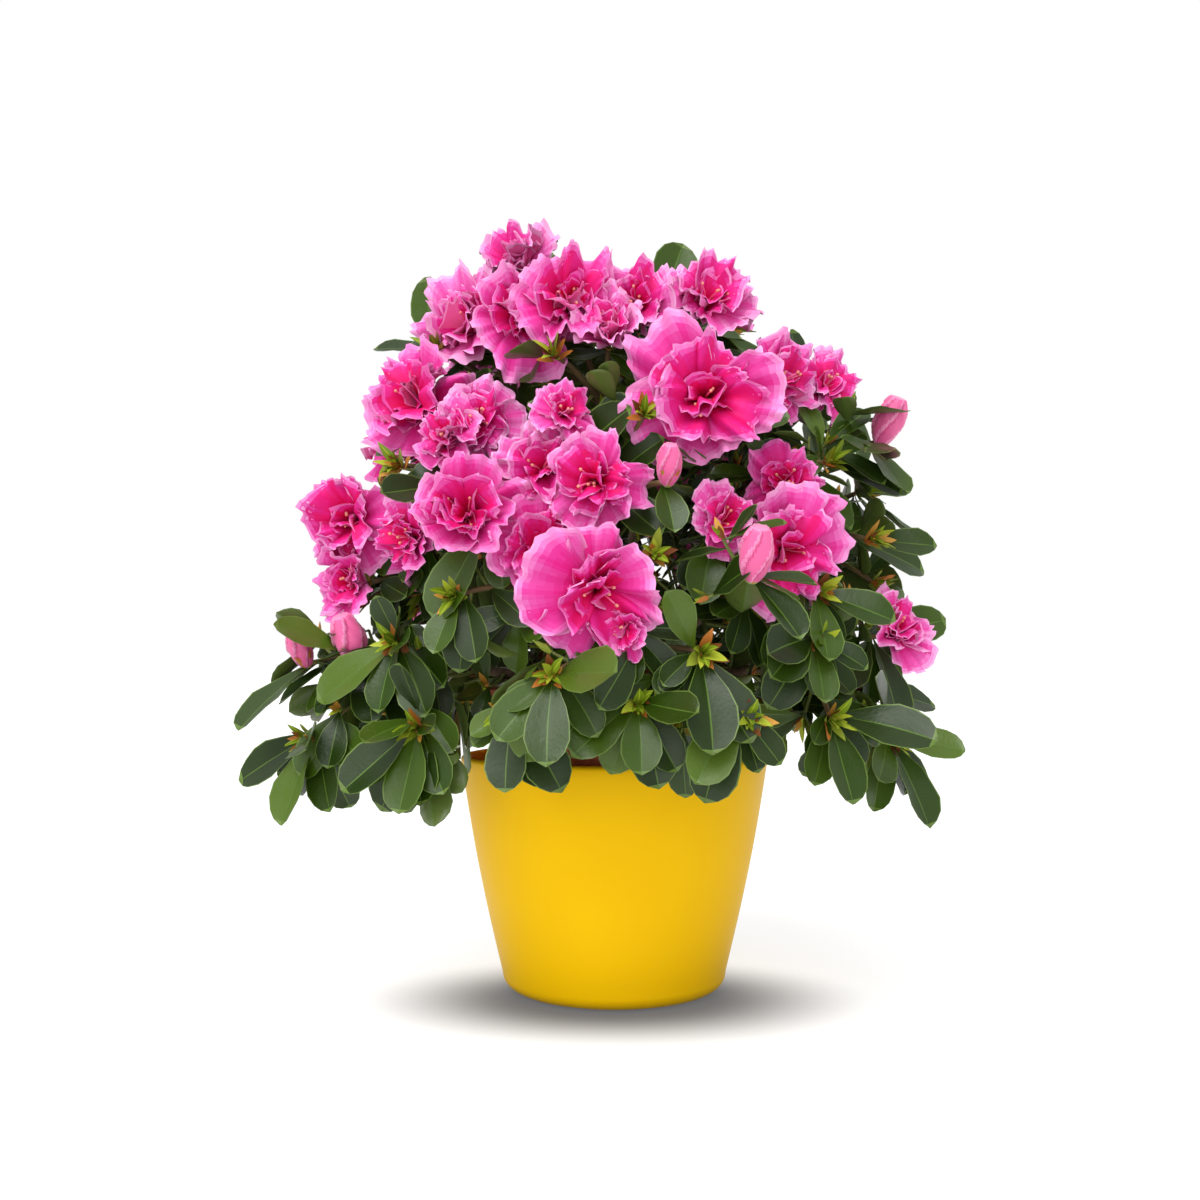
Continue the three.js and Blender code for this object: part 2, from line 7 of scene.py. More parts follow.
import bpy
import numpy as np
from numpy.linalg import norm
from numpy.random import default_rng
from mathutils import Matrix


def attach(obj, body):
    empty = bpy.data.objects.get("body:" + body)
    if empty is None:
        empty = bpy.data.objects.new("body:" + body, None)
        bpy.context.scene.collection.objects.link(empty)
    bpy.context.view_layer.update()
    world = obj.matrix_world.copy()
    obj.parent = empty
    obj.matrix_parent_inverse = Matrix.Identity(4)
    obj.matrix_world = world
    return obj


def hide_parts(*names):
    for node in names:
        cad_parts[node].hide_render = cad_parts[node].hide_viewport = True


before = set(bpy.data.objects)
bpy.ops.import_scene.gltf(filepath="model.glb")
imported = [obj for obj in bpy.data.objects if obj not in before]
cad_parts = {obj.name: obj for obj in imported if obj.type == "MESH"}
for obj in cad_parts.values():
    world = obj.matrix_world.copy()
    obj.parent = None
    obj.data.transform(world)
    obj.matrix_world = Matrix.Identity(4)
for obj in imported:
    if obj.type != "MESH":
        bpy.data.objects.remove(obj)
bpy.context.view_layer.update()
scene = bpy.context.scene

# Small vector tools

UP = np.array([0.0, 0.0, 1.0])


def unit(v):
    return v / norm(v)


def lerp(a, b, share):
    return a + (b - a) * share


def between(ends, share):
    return lerp(*ends, share)


def clamp(x):
    return max(0.0, min(1.0, x))


def smooth(x):
    x = np.clip(x, 0, 1)
    return x * x * (3 - 2 * x)


def seeded(seed):
    """Numbers from 0 to 1 that are the same on every run."""
    state = seed

    def draw():
        nonlocal state
        state = (state * 48271) % 2147483647
        return state / 2147483647

    return draw


def square_to(way):
    across = np.cross(way, UP)
    if across @ across < 0.001:
        across = np.array([1.0, 0.0, 0.0])
    across = unit(across)
    return across, unit(np.cross(way, across))


class Bezier:
    def __init__(self, a, b, c):
        self.a, self.b, self.c = a, b, c

    def at(self, t):
        return self.a * (1 - t) ** 2 + self.b * (2 * t * (1 - t)) + self.c * t * t

    def way(self, t):
        return unit((self.b - self.a) * (1 - t) + (self.c - self.b) * t)


# Sizes, as in the solids' source

CLEARANCE = 0.3
cover = Sizes(height=104, rim=70, foot=50.5, fillet=7, bulge=1.2, wall=4, floor=5)
nursery = Sizes(
    height=128.7, base=41.5, shoulder=57, collar_height=20, collar=60, rim=61.5, wall=1.8, floor=2.4
)
root_ball = Sizes(below_rim=9, crown=2.5, inset=0.45)
crown = Sizes(middle=165, radius=118, rise=175)
pointing = Sizes(steepest=46, level_below=170, steepest_at=330, frontwards=26, buds=60)
stem = Sizes(length=46, base=9.5, neck=7, tip=5, lean=3)
bough = Sizes(base=2.7, tip=1.9)
twig = Sizes(hub=1.7, tip=1.2, steps=2, arch=6)
leaf = Sizes(length=43, width=0.54, widest=0.6)
rosette = {
    "bloom": Sizes(count=4, set_back=9, opening=(66, 96)),
    "bud": Sizes(count=5, set_back=4, opening=(72, 112)),
    "leaf": Sizes(count=6, set_back=2, opening=(44, 94)),
}
GOLDEN_ANGLE = 137.5
# A flower's foot lies this share of its diameter behind its place.
SINK = 0.28
# The share of a leaf, from its foot, that may touch a twig or another leaf.
CUT_FROM = 0.15
# Kept free of leaves round the limbs, the pots and the floor.
MARGIN = 1.5
# The room that a flower takes, in shares of its diameter.
flower_room = Sizes(radius=0.52, foot=0.04, slope=0.3, height=0.55)


def bloom(azimuth, height, size, reach=1.0, kind="bloom"):
    """A shoot: degrees from the front, millimetres and its share of the crown's radius."""
    return Sizes(azimuth=azimuth, height=height, size=size, reach=reach, kind=kind)


def bud(azimuth, height, size, reach=1.0):
    return bloom(azimuth, height, size, reach, "bud")


def leafy(azimuth, height, reach=1.0):
    return bloom(azimuth, height, 0, reach, "leaf")


def spread(count, azimuths, heights, diameter):
    """Shoots spread evenly over a stretch of the crown's far side."""
    shoots = []
    for i in range(count):
        azimuth = between(azimuths, (i * 0.618 + 0.31) % 1)
        height = between(heights, (i + 0.5) / count)
        if i % 3 == 2 or diameter == 0:
            shoots.append(leafy(azimuth, height))
        else:
            shoots.append(bloom(azimuth, height, diameter - 3 * (i % 4)))
    return shoots


def mass(name, tier, shoots, region):
    return Sizes(name=name, tier=tier, shoots=shoots, region=region)


masses = [
    mass("crown_left", 1, [
        bloom(-64, 328, 42, 1.2), bloom(-60, 299, 52), bloom(-112, 302, 46),
        leafy(-84, 288), leafy(-62, 281, 0.97),
    ], "top"),
    mass("crown_right", 0.93, [
        bloom(-15, 295, 49, 1.02), bloom(10, 297, 44, 0.94), bloom(32, 299, 44, 0.97),
        bloom(-2, 279, 36, 0.94), bloom(-33, 291, 48), leafy(-16, 268, 0.93),
    ], "top"),
    mass("shoulder_right", 0.7, [
        bloom(22, 256, 65, 1.06), bloom(46, 263, 40, 0.97), bloom(70, 267, 36, 1.06),
        bloom(41, 219, 32, 0.97), leafy(52, 228), bud(62, 238, 22, 1.18),
    ], "right"),
    mass("shoulder_left", 0.74, [
        bloom(-58, 259, 55), bloom(-37, 247, 38, 0.93), bloom(-40, 236, 34, 0.97),
        bloom(-94, 248, 44), leafy(-54, 227),
    ], "left"),
    mass("front_left", 0.62, [
        bloom(-18, 221, 42, 0.92), bloom(-13, 243, 27, 0.95), bloom(-3, 217, 42),
        bud(10, 214, 17), leafy(6, 242, 0.95),
    ], "front"),
    mass("left", 0.5, [
        bloom(-62, 208, 45, 1.12), bloom(-63, 179, 36, 1.06), bloom(-48, 197, 36, 0.97),
        bloom(-93, 210, 40), leafy(-72, 172, 0.97),
    ], "left"),
    mass("front", 0.36, [
        bloom(-30, 203, 50, 1.05), bloom(-18, 191, 42, 0.92), bloom(-5, 177, 51, 1.07),
        leafy(7, 187, 0.97), leafy(-33, 172, 0.97),
    ], "front"),
    mass("front_right", 0.46, [
        bloom(35, 196, 54), bloom(22, 201, 30, 0.92), bud(20, 177, 22, 1.2),
        leafy(44, 174, 0.98), leafy(42, 154),
    ], "front"),
    mass("right", 0.86, [
        leafy(61, 197, 1.04), leafy(74, 180), leafy(88, 224, 1.02), bloom(104, 200, 36),
        leafy(100, 262, 0.97),
    ], "right"),
    mass("skirt_left", 0.24, [
        leafy(-38, 121, 1.05), bud(-60, 146, 24, 1.04), bud(-66, 145, 17, 1.2),
        leafy(-62, 115, 1.2), leafy(-98, 128, 1.06), leafy(-48, 154),
    ], "left"),
    mass("skirt_front", 0.1, [
        leafy(-12, 142), leafy(-22, 128, 0.92), leafy(4, 131, 0.94), leafy(16, 150, 0.98),
        bloom(2, 160, 22, 1.02), leafy(24, 126, 1.02),
    ], "front"),
    mass("skirt_right", 0.26, [
        leafy(65, 113, 1.08), leafy(46, 124), leafy(100, 132, 1.04),
        bloom(66, 157, 36, 1.12),
    ], "right"),
    mass("crown_top", 0.99, [
        bloom(176, 320, 48, 0.95), leafy(118, 306, 0.9), bloom(124, 312, 42),
        leafy(215, 320, 0.9), leafy(60, 302, 0.3),
    ], "top"),
    mass("back_crown", 0.84, spread(5, (130, 234), (254, 291), 52), "back"),
    mass("back_left", 0.42, spread(5, (208, 246), (168, 250), 52), "back"),
    mass("back", 0.6, spread(4, (162, 200), (166, 244), 54), "rear"),
    mass("back_right", 0.52, spread(5, (114, 156), (170, 250), 52), "rear"),
    mass("skirt_back_left", 0.18, spread(4, (190, 240), (122, 160), 0), "back"),
    mass("skirt_back_right", 0.1, spread(4, (124, 176), (122, 160), 0), "rear"),
]
regions = ["top", "right", "left", "front", "back", "rear"]

nursery_base = cover.floor + CLEARANCE
nursery_top = nursery_base + nursery.height
soil_top = nursery_top - root_ball.below_rim

# The growth rule of the solids

stem_foot = np.array([0.0, 0.0, soil_top + CLEARANCE])
stem_tip = np.array([stem.lean, stem.lean / 2, soil_top + stem.length])


def stem_radius(share):
    flare = (stem.base - stem.neck) * max(0.0, 1 - share / 0.3) ** 2
    return lerp(stem.neck, stem.tip, share) + flare


def bough_radius(share):
    return lerp(bough.base, bough.tip, share)


def outward(angle):
    return np.array([sin(angle), -cos(angle), 0.0])


def tip_axis(shoot):
    rise = (shoot.height - pointing.level_below) / (pointing.steepest_at - pointing.level_below)
    steepness = pointing.steepest * clamp(rise) ** 1.5
    lift = radians(pointing.buds if shoot.kind == "bud" else steepness)
    straight = radians(shoot.azimuth)
    angle = straight - radians(pointing.frontwards) * sin(straight)
    return outward(angle) * cos(lift) + UP * sin(lift)


def hang(height):
    """0 for what grows at 250 mm or above, 1 at 130 mm or below, where leaves droop most."""
    return clamp((250 - height) / 120)


def dome_radius(height):
    rise = max(0.0, height - crown.middle) / crown.rise
    return crown.radius * sqrt(max(0.0, 1 - rise * rise))


def tip_place(shoot):
    radius = dome_radius(shoot.height) * shoot.reach
    place = outward(radians(shoot.azimuth)) * radius + UP * shoot.height
    if shoot.kind != "bloom":
        return place
    return place - SINK * shoot.size * tip_axis(shoot)


for m in masses:
    for shoot in m.shoots:
        shoot.place = tip_place(shoot)
    m.middle = sum(shoot.place for shoot in m.shoots) / len(m.shoots)
    low = clamp((190 - m.middle[2]) / 60)
    heart = lerp(stem_foot, stem_tip, m.tier * 0.92)
    m.hub = lerp(heart, m.middle, 0.75) + UP * 12 * low
    aside = unit((m.hub - heart) * np.array([1, 1, 0]))
    start = heart + aside * stem.tip * 0.6
    root = lerp(start, m.hub, 0.88) + UP * 2
    bend = lerp(start, root, 0.72)
    bend[2] = lerp(start[2], root[2], 0.4)
    m.curve = Bezier(start, bend, root)
    m.root_way = m.curve.way(1)
    m.root = root + m.root_way * CLEARANCE

limb = [(lerp(stem_foot, stem_tip, i / 10), stem_radius(i / 10)) for i in range(11)]
limb += [(m.curve.at(i / 24), bough_radius(i / 24)) for m in masses for i in range(25)]
limb_places, limb_radii = (np.array(values) for values in zip(*limb))


def space_of(m):
    """A mass's space is all that is nearer to its own middle than to any other mass's."""
    outs, offsets = [], []
    for other in masses:
        if other is not m:
            out = other.middle - m.middle
            outs.append(unit(out))
            offsets.append(outs[-1] @ m.middle + norm(out) / 2 - CLEARANCE)
    return np.array(outs), np.array(offsets)


def inside_space(space, points):
    return np.all(points @ space[0].T < space[1])


def touches_limb_or_pot(points):
    radius = np.hypot(points[:, 0], points[:, 1])
    height = points[:, 2]
    in_nursery = (height < nursery_top + MARGIN) & (radius < nursery.rim + MARGIN)
    in_cover = (height < cover.height + MARGIN) & (radius < cover.rim + 2 * MARGIN)
    if np.any(in_nursery | in_cover | (height < MARGIN)):
        return True
    apart = norm(points[:, None] - limb_places[None], axis=2)
    return np.any(apart < limb_radii + MARGIN)


def leaf_outline(blade, start=0.0):
    half = blade.size * leaf.width / 2
    broad = blade.base + blade.way * (blade.size * leaf.widest)
    return np.array([
        blade.base + blade.way * (blade.size * start),
        broad + blade.side * half,
        blade.base + blade.way * blade.size,
        broad - blade.side * half,
    ])


def pierced(starts, ends, triangles):
    """For each line and each triangle, whether the line passes through it."""
    p, q = starts[:, None], ends[:, None]
    a, b, c = (triangles[None, :, k] for k in range(3))

    def spin(p, q, r, s):
        return np.einsum("...i,...i", q - p, np.cross(r - p, s - p)) > 0

    sides = spin(p, a, b, c) != spin(q, a, b, c)
    turn = spin(p, q, a, b)
    return sides & (turn == spin(p, q, b, c)) & (turn == spin(p, q, c, a))


def halves(outline):
    return np.array([outline[[0, 1, 2]], outline[[0, 2, 3]]])


def leaves_cross(blade, others):
    own = leaf_outline(blade, CUT_FROM)
    near = [o.cut for o in others if norm(o.base - blade.base) <= o.size + blade.size]
    if not near:
        return False
    if np.any(pierced(own, np.roll(own, -1, axis=0), np.concatenate([halves(o) for o in near]))):
        return True
    ends = np.concatenate([np.roll(o, -1, axis=0) for o in near])
    return np.any(pierced(np.concatenate(near), ends, halves(own)))


def crosses_twig(blade, lines):
    return np.any(pierced(*lines, halves(leaf_outline(blade, CUT_FROM))))


def spots_of(blade):
    """Spots on a leaf, of which the first four lie away from its foot and edges."""
    _, right, tip, left = leaf_outline(blade)
    return np.array([
        tip, lerp(right, tip, 0.5), lerp(left, tip, 0.5), lerp(right, left, 0.5), right, left,
        lerp(blade.base, tip, 0.3),
    ])


def inside_flowers(flowers, points):
    room = flower_room
    for f in flowers:
        away = points - f.base
        high = away @ f.axis
        aside = np.sqrt(np.maximum(0, np.einsum("ij,ij->i", away, away) - high * high))
        hit = (aside < f.size * room.radius) & (high > f.size * room.foot + aside * room.slope)
        if np.any(hit & (high < f.size * room.height)):
            return True
    return False


def leaf_way(axis, turn, opening, droop=0):
    across, over = square_to(axis)
    way = axis * cos(opening) + across * (sin(opening) * cos(turn))
    return unit(way + over * (sin(opening) * sin(turn)) - UP * droop)


def fitted_leaf(growth, base, axis, angles, droop, length, shares=(1, 0.8, 0.62)):
    """Adds a leaf that fits its mass's space and crosses nothing, made smaller if need be.

    Its angles, in degrees, are its turn round the axis and its opening away from it.
    """
    way = leaf_way(axis, radians(angles[0]), radians(angles[1]), droop)
    side = unit(np.cross(way, axis + UP * 0.5))
    for share in shares:
        blade = Sizes(base=base, way=way, side=side, size=length * share)
        spots = spots_of(blade)
        if not inside_space(growth.space, spots) or touches_limb_or_pot(spots):
            continue
        if inside_flowers(growth.flowers, spots) or crosses_twig(blade, growth.lines):
            continue
        if not leaves_cross(blade, growth.leaves):
            blade.cut = leaf_outline(blade, CUT_FROM)
            growth.leaves.append(blade)
            return blade
    return None


def inside_twig(curve, share):
    """A place on the straight pieces that a twig has in the solids."""
    step = min(twig.steps - 1, int(share * twig.steps))
    start = curve.at(step / twig.steps)
    return lerp(start, curve.at((step + 1) / twig.steps), share * twig.steps - step)


def twig_lines(curves):
    """The starts and the ends of the straight pieces of twigs."""
    steps = range(twig.steps)
    return [
        np.array([curve.at((step + end) / twig.steps) for curve in curves for step in steps])
        for end in (0, 1)
    ]


def grow(m, index):
    """What the solids' source grows on a mass: twigs with their flowers, buds and leaves."""
    shoots = []
    for order, shoot in enumerate(m.shoots):
        random = seeded(1013 * (index + 1) + 101 * (order + 1))
        start = lerp(m.hub, m.root, 0.1)
        bend = lerp(m.hub, shoot.place, 0.55) + UP * twig.arch
        curve = Bezier(start, bend, shoot.place)
        shoots.append(Sizes(
            tip=shoot, random=random, axis=tip_axis(shoot), curve=curve,
            base=inside_twig(curve, 0.97), start=random() * 360,
        ))
    flowers = [
        Sizes(base=s.base, axis=s.axis, size=s.tip.size, turn=s.start, order=k)
        for k, s in enumerate(shoots) if s.tip.kind == "bloom"
    ]
    growth = Sizes(
        space=space_of(m), shoots=shoots, flowers=flowers, leaves=[], fine=[], small=[],
        lines=twig_lines([s.curve for s in shoots]),
    )
    for s in shoots:
        low = hang(s.tip.place[2])
        kind = rosette[s.tip.kind]
        for i in range(kind.count + 1):
            on_twig = i >= kind.count
            turn = s.start + GOLDEN_ANGLE * i
            share = 0.55 + 0.25 * s.random() if on_twig else 1 - (kind.set_back + i) / 60
            opening = 70 if on_twig else between(kind.opening, i / kind.count)
            droop = (0.15 + 0.95 * low) * (0.4 + 0.6 * s.random())
            length = leaf.length * (0.72 + 0.4 * s.random())
            foot = inside_twig(s.curve, share)
            blade = fitted_leaf(growth, foot, s.axis, (turn, opening), droop, length)
            if blade:
                blade.base_seen = s.curve.at(share)
    return growth


# The rule carried further

finer = Sizes(
    rosette_leaves=4, side_twigs=6, inner_twigs=14, side_leaves=5, reach=(9, 22),
    inner_reach=(16, 34), leaf=(26, 37), inset=6,
)


def add_side_twig(growth, foot, way, lift, reach, low, widest, random):
    """A short twig with its own whorl of leaves, kept only where it and a leaf fit."""
    end = foot + way * reach + UP * lift * reach
    bend = foot + way * 0.55 * reach
    spots = np.array([bend, end])
    if hypot(end[0], end[1]) > widest or not inside_space(growth.space, spots):
        return
    if touches_limb_or_pot(spots[1:]) or inside_flowers(growth.flowers, spots):
        return
    curve = Bezier(foot, bend, end)
    axis = unit(curve.way(1) + UP * 0.2)
    put = 0
    for i in range(finer.side_leaves + 1):
        turn = GOLDEN_ANGLE * i + 90 * random()
        opening = 48 + 40 * random()
        droop = (0.1 + 0.8 * low) * random()
        length = between(finer.leaf, random())
        base = curve.at(1 - 0.05 * i)
        if fitted_leaf(growth, base, axis, (turn, opening), droop, length, (1, 0.75)):
            put += 1
    if put:
        growth.fine.append(curve)
        growth.small.append(Sizes(base=end, axis=axis, seed=int(1e6 * random()) + 1))
        both = zip(growth.lines, twig_lines([curve]))
        growth.lines = [np.concatenate(pair) for pair in both]


def grow_finer(m, index, growth):
    """Side twigs with small rosettes, and more leaves in each whorl, within the tips' reach."""
    for order, s in enumerate(growth.shoots):
        random = seeded(7919 * (index + 1) + 331 * (order + 1))
        low = hang(s.tip.place[2])
        kind = rosette[s.tip.kind]
        for i in range(finer.rosette_leaves):
            turn = s.start + GOLDEN_ANGLE * (i + kind.count + 1) + 30 * random()
            share = 1 - (kind.set_back + 1.5 + 2.2 * i + 2 * random()) / 60
            opening = 58 + 38 * random()
            droop = (0.15 + 0.95 * low) * (0.3 + 0.7 * random())
            length = leaf.length * (0.6 + 0.34 * random())
            base = s.curve.at(share)
            fitted_leaf(growth, base, s.axis, (turn, opening), droop, length, (1, 0.8))
        for k in range(finer.side_twigs):
            share = 0.15 + 0.75 * (k + random()) / finer.side_twigs
            turn = radians(s.start + GOLDEN_ANGLE * (k + 3))
            way = leaf_way(s.curve.way(share), turn, radians(45 + 40 * random()))
            reach = between(finer.reach, random())
            widest = dome_radius(s.tip.place[2]) * max(s.tip.reach, 1) - finer.inset
            foot = s.curve.at(share)
            add_side_twig(growth, foot, way, 0.1, reach, low, widest, random)
    random = seeded(6101 * (index + 1))
    low = hang(m.middle[2])
    for k in range(finer.inner_twigs):
        share = 0.5 + 0.5 * (k + random()) / finer.inner_twigs
        way = leaf_way(m.curve.way(share), 2.4 * k + random(), radians(35 + 50 * random()))
        reach = between(finer.inner_reach, random())
        foot = m.curve.at(share)
        add_side_twig(growth, foot, way, 0.2, reach, low, crown.radius, random)


growths = [grow(m, index) for index, m in enumerate(masses)]
every_flower = [f for g in growths for f in g.flowers]
for index, (m, g) in enumerate(zip(masses, growths)):
    g.own_flowers, g.flowers = g.flowers, every_flower
    g.leaves = [b for b in g.leaves if not inside_flowers(every_flower, spots_of(b)[:4])]
    grow_finer(m, index, g)

# Finishes


def linear(colour):
    """An sRGB colour of 0 to 255 as Blender's linear one."""
    parts = [c / 255 for c in colour]
    return tuple(c / 12.92 if c <= 0.04045 else ((c + 0.055) / 1.055) ** 2.4 for c in parts)


def fill(node, **inputs):
    for socket, value in inputs.items():
        node.inputs[socket.replace("_", " ")].default_value = value
    return node


def add_node(tree, kind, **inputs):
    return fill(tree.nodes.new("ShaderNode" + kind), **inputs)


def join(tree, *joins):
    for source, output, target, socket in joins:
        tree.links.new(source.outputs[output], target.inputs[socket])


def finish(name, colour, rough, spread=0.06, grain=900, bump=0.2, depth=0.0002, second=None,
           patch=60, **sockets):
    """A procedural finish: fine grain in relief, uneven gloss and, if asked, two mixed tones."""
    material = bpy.data.materials.new(name)
    material.use_nodes = True
    tree = material.node_tree
    shader = fill(tree.nodes["Principled BSDF"], Base_Color=(*linear(colour), 1), **sockets)
    place = add_node(tree, "TexCoord")
    fine = add_node(tree, "TexNoise", Scale=grain, Detail=3)
    relief = add_node(tree, "Bump", Strength=bump, Distance=depth)
    broad = add_node(tree, "TexNoise", Scale=patch)
    gloss = add_node(
        tree, "MapRange", From_Min=0.3, From_Max=0.7, To_Min=rough - spread,
        To_Max=rough + spread,
    )
    join(
        tree, (place, "Object", fine, "Vector"), (fine, "Fac", relief, "Height"),
        (relief, "Normal", shader, "Normal"), (place, "Object", broad, "Vector"),
        (broad, "Fac", gloss, "Value"), (gloss, "Result", shader, "Roughness"),
    )
    if second:
        tones = add_node(tree, "ValToRGB")
        for stop, at, tone in zip(tones.color_ramp.elements, (0.35, 0.68), (colour, second)):
            stop.position = at
            stop.color = (*linear(tone), 1)
        join(
            tree, (fine if patch == grain else broad, "Fac", tones, "Fac"),
            (tones, "Color", shader, "Base Color"),
        )
    return material


def finishes(name, colours, rough, **look):
    return [finish(f"{name}_{i}", colour, rough, **look) for i, colour in enumerate(colours)]


# From the throat to the margin, then the three shades of the petals' backs.
petal_keys = [
    (132, 0, 24), (200, 0, 54), (214, 4, 92), (214, 34, 134), (224, 94, 174), (242, 172, 218),
]
key_places = np.linspace(0, 1, len(petal_keys))
TONES = 30
petal_colours = [
    tuple(np.interp(i / (TONES - 1), key_places, [key[c] for key in petal_keys]) for c in range(3))
    for i in range(TONES)
]
back_colours = [(230, 76, 148), (236, 108, 174), (244, 160, 212)]
petal_finishes = finishes(
    "petal", petal_colours + back_colours, 0.6, grain=1400, bump=0.2, depth=0.0003,
    Specular_IOR_Level=0.2,
)

leaf_tops = [(30, 50, 4), (42, 64, 8), (56, 80, 12), (36, 54, 14), (76, 100, 24)]
leaf_colours = leaf_tops + [
    (78, 106, 36), (92, 116, 48), (84, 102, 44), (118, 142, 28), (172, 184, 54),
]
# The rim tone is a painted highlight: a pale line along a broad leaf's edge, where it catches
# light.
RIB, RIM_HIGHLIGHT, UNDER, YOUNG, YOUNGEST = range(len(leaf_tops), len(leaf_colours))
leaf_finishes = finishes(
    "leaf", leaf_colours, 0.36, spread=0.1, grain=700, bump=0.3, depth=0.0004,
    Specular_IOR_Level=0.36,
)
scale_colours = [(128, 70, 26), (186, 112, 40), (206, 150, 58), (150, 164, 48)]
scale_finishes = finishes("scale", scale_colours, 0.6, bump=0.4)
twig_finishes = [
    finish("twig_bark", (104, 80, 54), 0.8, grain=600, bump=0.7, second=(122, 104, 62)),
    finish("twig_green", (112, 124, 56), 0.6, grain=600, bump=0.4),
]
bark = finish(
    "bark", (88, 68, 50), 0.85, grain=420, bump=0.9, depth=0.0012, second=(128, 108, 86), patch=150
)
stamen_finishes = [
    finish("filament", (240, 110, 160), 0.5), finish("anther", (226, 150, 130), 0.7),
]
bud_colours = [(226, 92, 150), (236, 132, 180), (208, 62, 128), (150, 160, 70)]
bud_finishes = finishes("bud", bud_colours, 0.5, Sheen_Weight=0.2)
peat = finish(
    "peat", (38, 25, 17), 0.95, grain=500, bump=1.0, depth=0.002, second=(70, 48, 32), patch=420
)
glaze = finish(
    "glaze", (237, 187, 0), 0.42, spread=0.05, grain=90, bump=0.05, depth=0.001,
    second=(232, 181, 0), patch=14, Specular_IOR_Level=0.07,
)
clay = finish(
    "clay_plastic", (201, 112, 84), 0.62, grain=900, bump=0.3, depth=0.0004,
    second=(190, 102, 76), patch=40,
)

# Pieces


def placed(name, data):
    obj = bpy.data.objects.new(name, data)
    scene.collection.objects.link(obj)
    return obj


# Rims of petals and leaves stay crisp where their faces turn by more than this.
SHARP_FROM = 80


class Piece:
    """Points and faces, in millimetres, that become one mesh."""

    def __init__(self, name, slot, finishes):
        self.name, self.slot, self.finishes = name, slot, finishes
        self.points, self.count = [], 0
        # By their number of corners, rows of a face's corners and its finish.
        self.faces = {3: [], 4: []}

    def add(self, points, faces, shades):
        """Points with faces on them, each of a finish."""
        self.points.append(np.asarray(points, float).reshape(-1, 3))
        self.count += len(self.points[-1])
        self.more_faces(faces, shades)

    def more_faces(self, faces, shades):
        """Faces on the points that were added last."""
        faces = np.asarray(faces) + self.count - len(self.points[-1])
        shades = np.broadcast_to(np.ravel(shades), len(faces))
        self.faces[faces.shape[1]].append(np.column_stack([faces, shades]))

    def build(self, nodes):
        mesh = bpy.data.meshes.new(self.name)
        points = np.concatenate(self.points) * 0.001
        groups = [np.concatenate(rows) for rows in self.faces.values() if rows]
        loops = np.concatenate([group[:, :-1].ravel() for group in groups])
        totals = np.concatenate([np.full(len(group), group.shape[1] - 1) for group in groups])
        shades = np.concatenate([group[:, -1] for group in groups])
        mesh.vertices.add(len(points))
        mesh.vertices.foreach_set("co", points.astype(np.float32).ravel())
        mesh.loops.add(len(loops))
        mesh.loops.foreach_set("vertex_index", loops.astype(np.int32))
        mesh.polygons.add(len(totals))
        for material in self.finishes:
            mesh.materials.append(material)
        starts = np.concatenate([[0], np.cumsum(totals)[:-1]])
        by_face = {"loop_start": starts, "loop_total": totals, "material_index": shades}
        for name, values in by_face.items():
            mesh.polygons.foreach_set(name, values.astype(np.int32))
        mesh.polygons.foreach_set("use_smooth", np.ones(len(totals), bool))
        mesh.update(calc_edges=True)
        mesh.validate()
        mesh.set_sharp_from_angle(angle=radians(SHARP_FROM))
        obj = placed(self.name, mesh)
        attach(obj, "root")
        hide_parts(*nodes)


def grid_faces(rows, columns, closed=False):
    """Quads of a grid of points, row by row, closed round its columns if asked."""
    quads = columns if closed else columns - 1
    r, c = np.meshgrid(np.arange(rows - 1), np.arange(quads), indexing="ij")
    a = r * columns + c
    b = r * columns + (c + 1) % columns
    return np.stack([a, b, b + columns, a + columns], axis=-1).reshape(-1, 4)


def add_rings(piece, rings, ends, shades, end_shades=(0, 0), inward=False):
    """Rings of points joined by quads, and closed by a fan of triangles at each end."""
    rings = np.asarray(rings)
    count, sides = rings.shape[:2]
    order = slice(None, None, -1 if inward else 1)
    points = np.concatenate([rings.reshape(-1, 3), ends])
    piece.add(points, grid_faces(count, sides, True)[:, order], shades)
    k = np.arange(sides)
    beside, last, centre = (k + 1) % sides, (count - 1) * sides, np.full(sides, count * sides)
    fans = [(beside, k, centre), (last + k, last + beside, centre + 1)]
    for fan, shade in zip(fans, end_shades):
        piece.more_faces(np.stack(fan, -1)[:, order], shade)


def around(across, over, angle):
    """The way at an angle round an axis, from two ways square to it."""
    return across * cos(angle) + over * sin(angle)


def tube(piece, curve, radius_at, sides, steps, shade=0, relief=None):
    """A closed limb round a curve."""
    side, _ = square_to(unit(curve.at(1) - curve.at(0)))
    rings = []
    for i in range(steps + 1):
        t = i / steps
        over = unit(np.cross(side, curve.way(t)))
        turn = np.arange(sides) * 2 * pi / sides
        radius = radius_at(t) * (1 + (relief(t, turn) if relief else 0))
        ring = np.cos(turn)[:, None] * side + np.sin(turn)[:, None] * over
        rings.append(curve.at(t) + ring * np.reshape(radius, (-1, 1)))
    add_rings(piece, rings, [curve.at(0), curve.at(1)], shade, (shade, shade), True)


def shell(piece, front, thickness, normals, front_shades, back_shades):
    """A closed thin sheet: a front and a back that meet along their edge."""
    rows, columns = front.shape[:2]
    index = np.arange(rows * columns).reshape(rows, columns)
    back = index.copy()
    inner = index[1:-1, 1:-1]
    back[1:-1, 1:-1] = rows * columns + np.arange(inner.size).reshape(inner.shape)
    under = (front - normals * thickness)[1:-1, 1:-1]
    points = np.concatenate([front.reshape(-1, 3), under.reshape(-1, 3)])
    quads = grid_faces(rows, columns)
    piece.add(points, quads, front_shades)
    piece.more_faces(back.ravel()[quads][:, ::-1], back_shades)


def grid_normals(points):
    along = np.gradient(points, axis=0)
    across = np.gradient(points, axis=1)
    normals = np.cross(across, along)
    return normals / np.maximum(norm(normals, axis=2, keepdims=True), 1e-9)


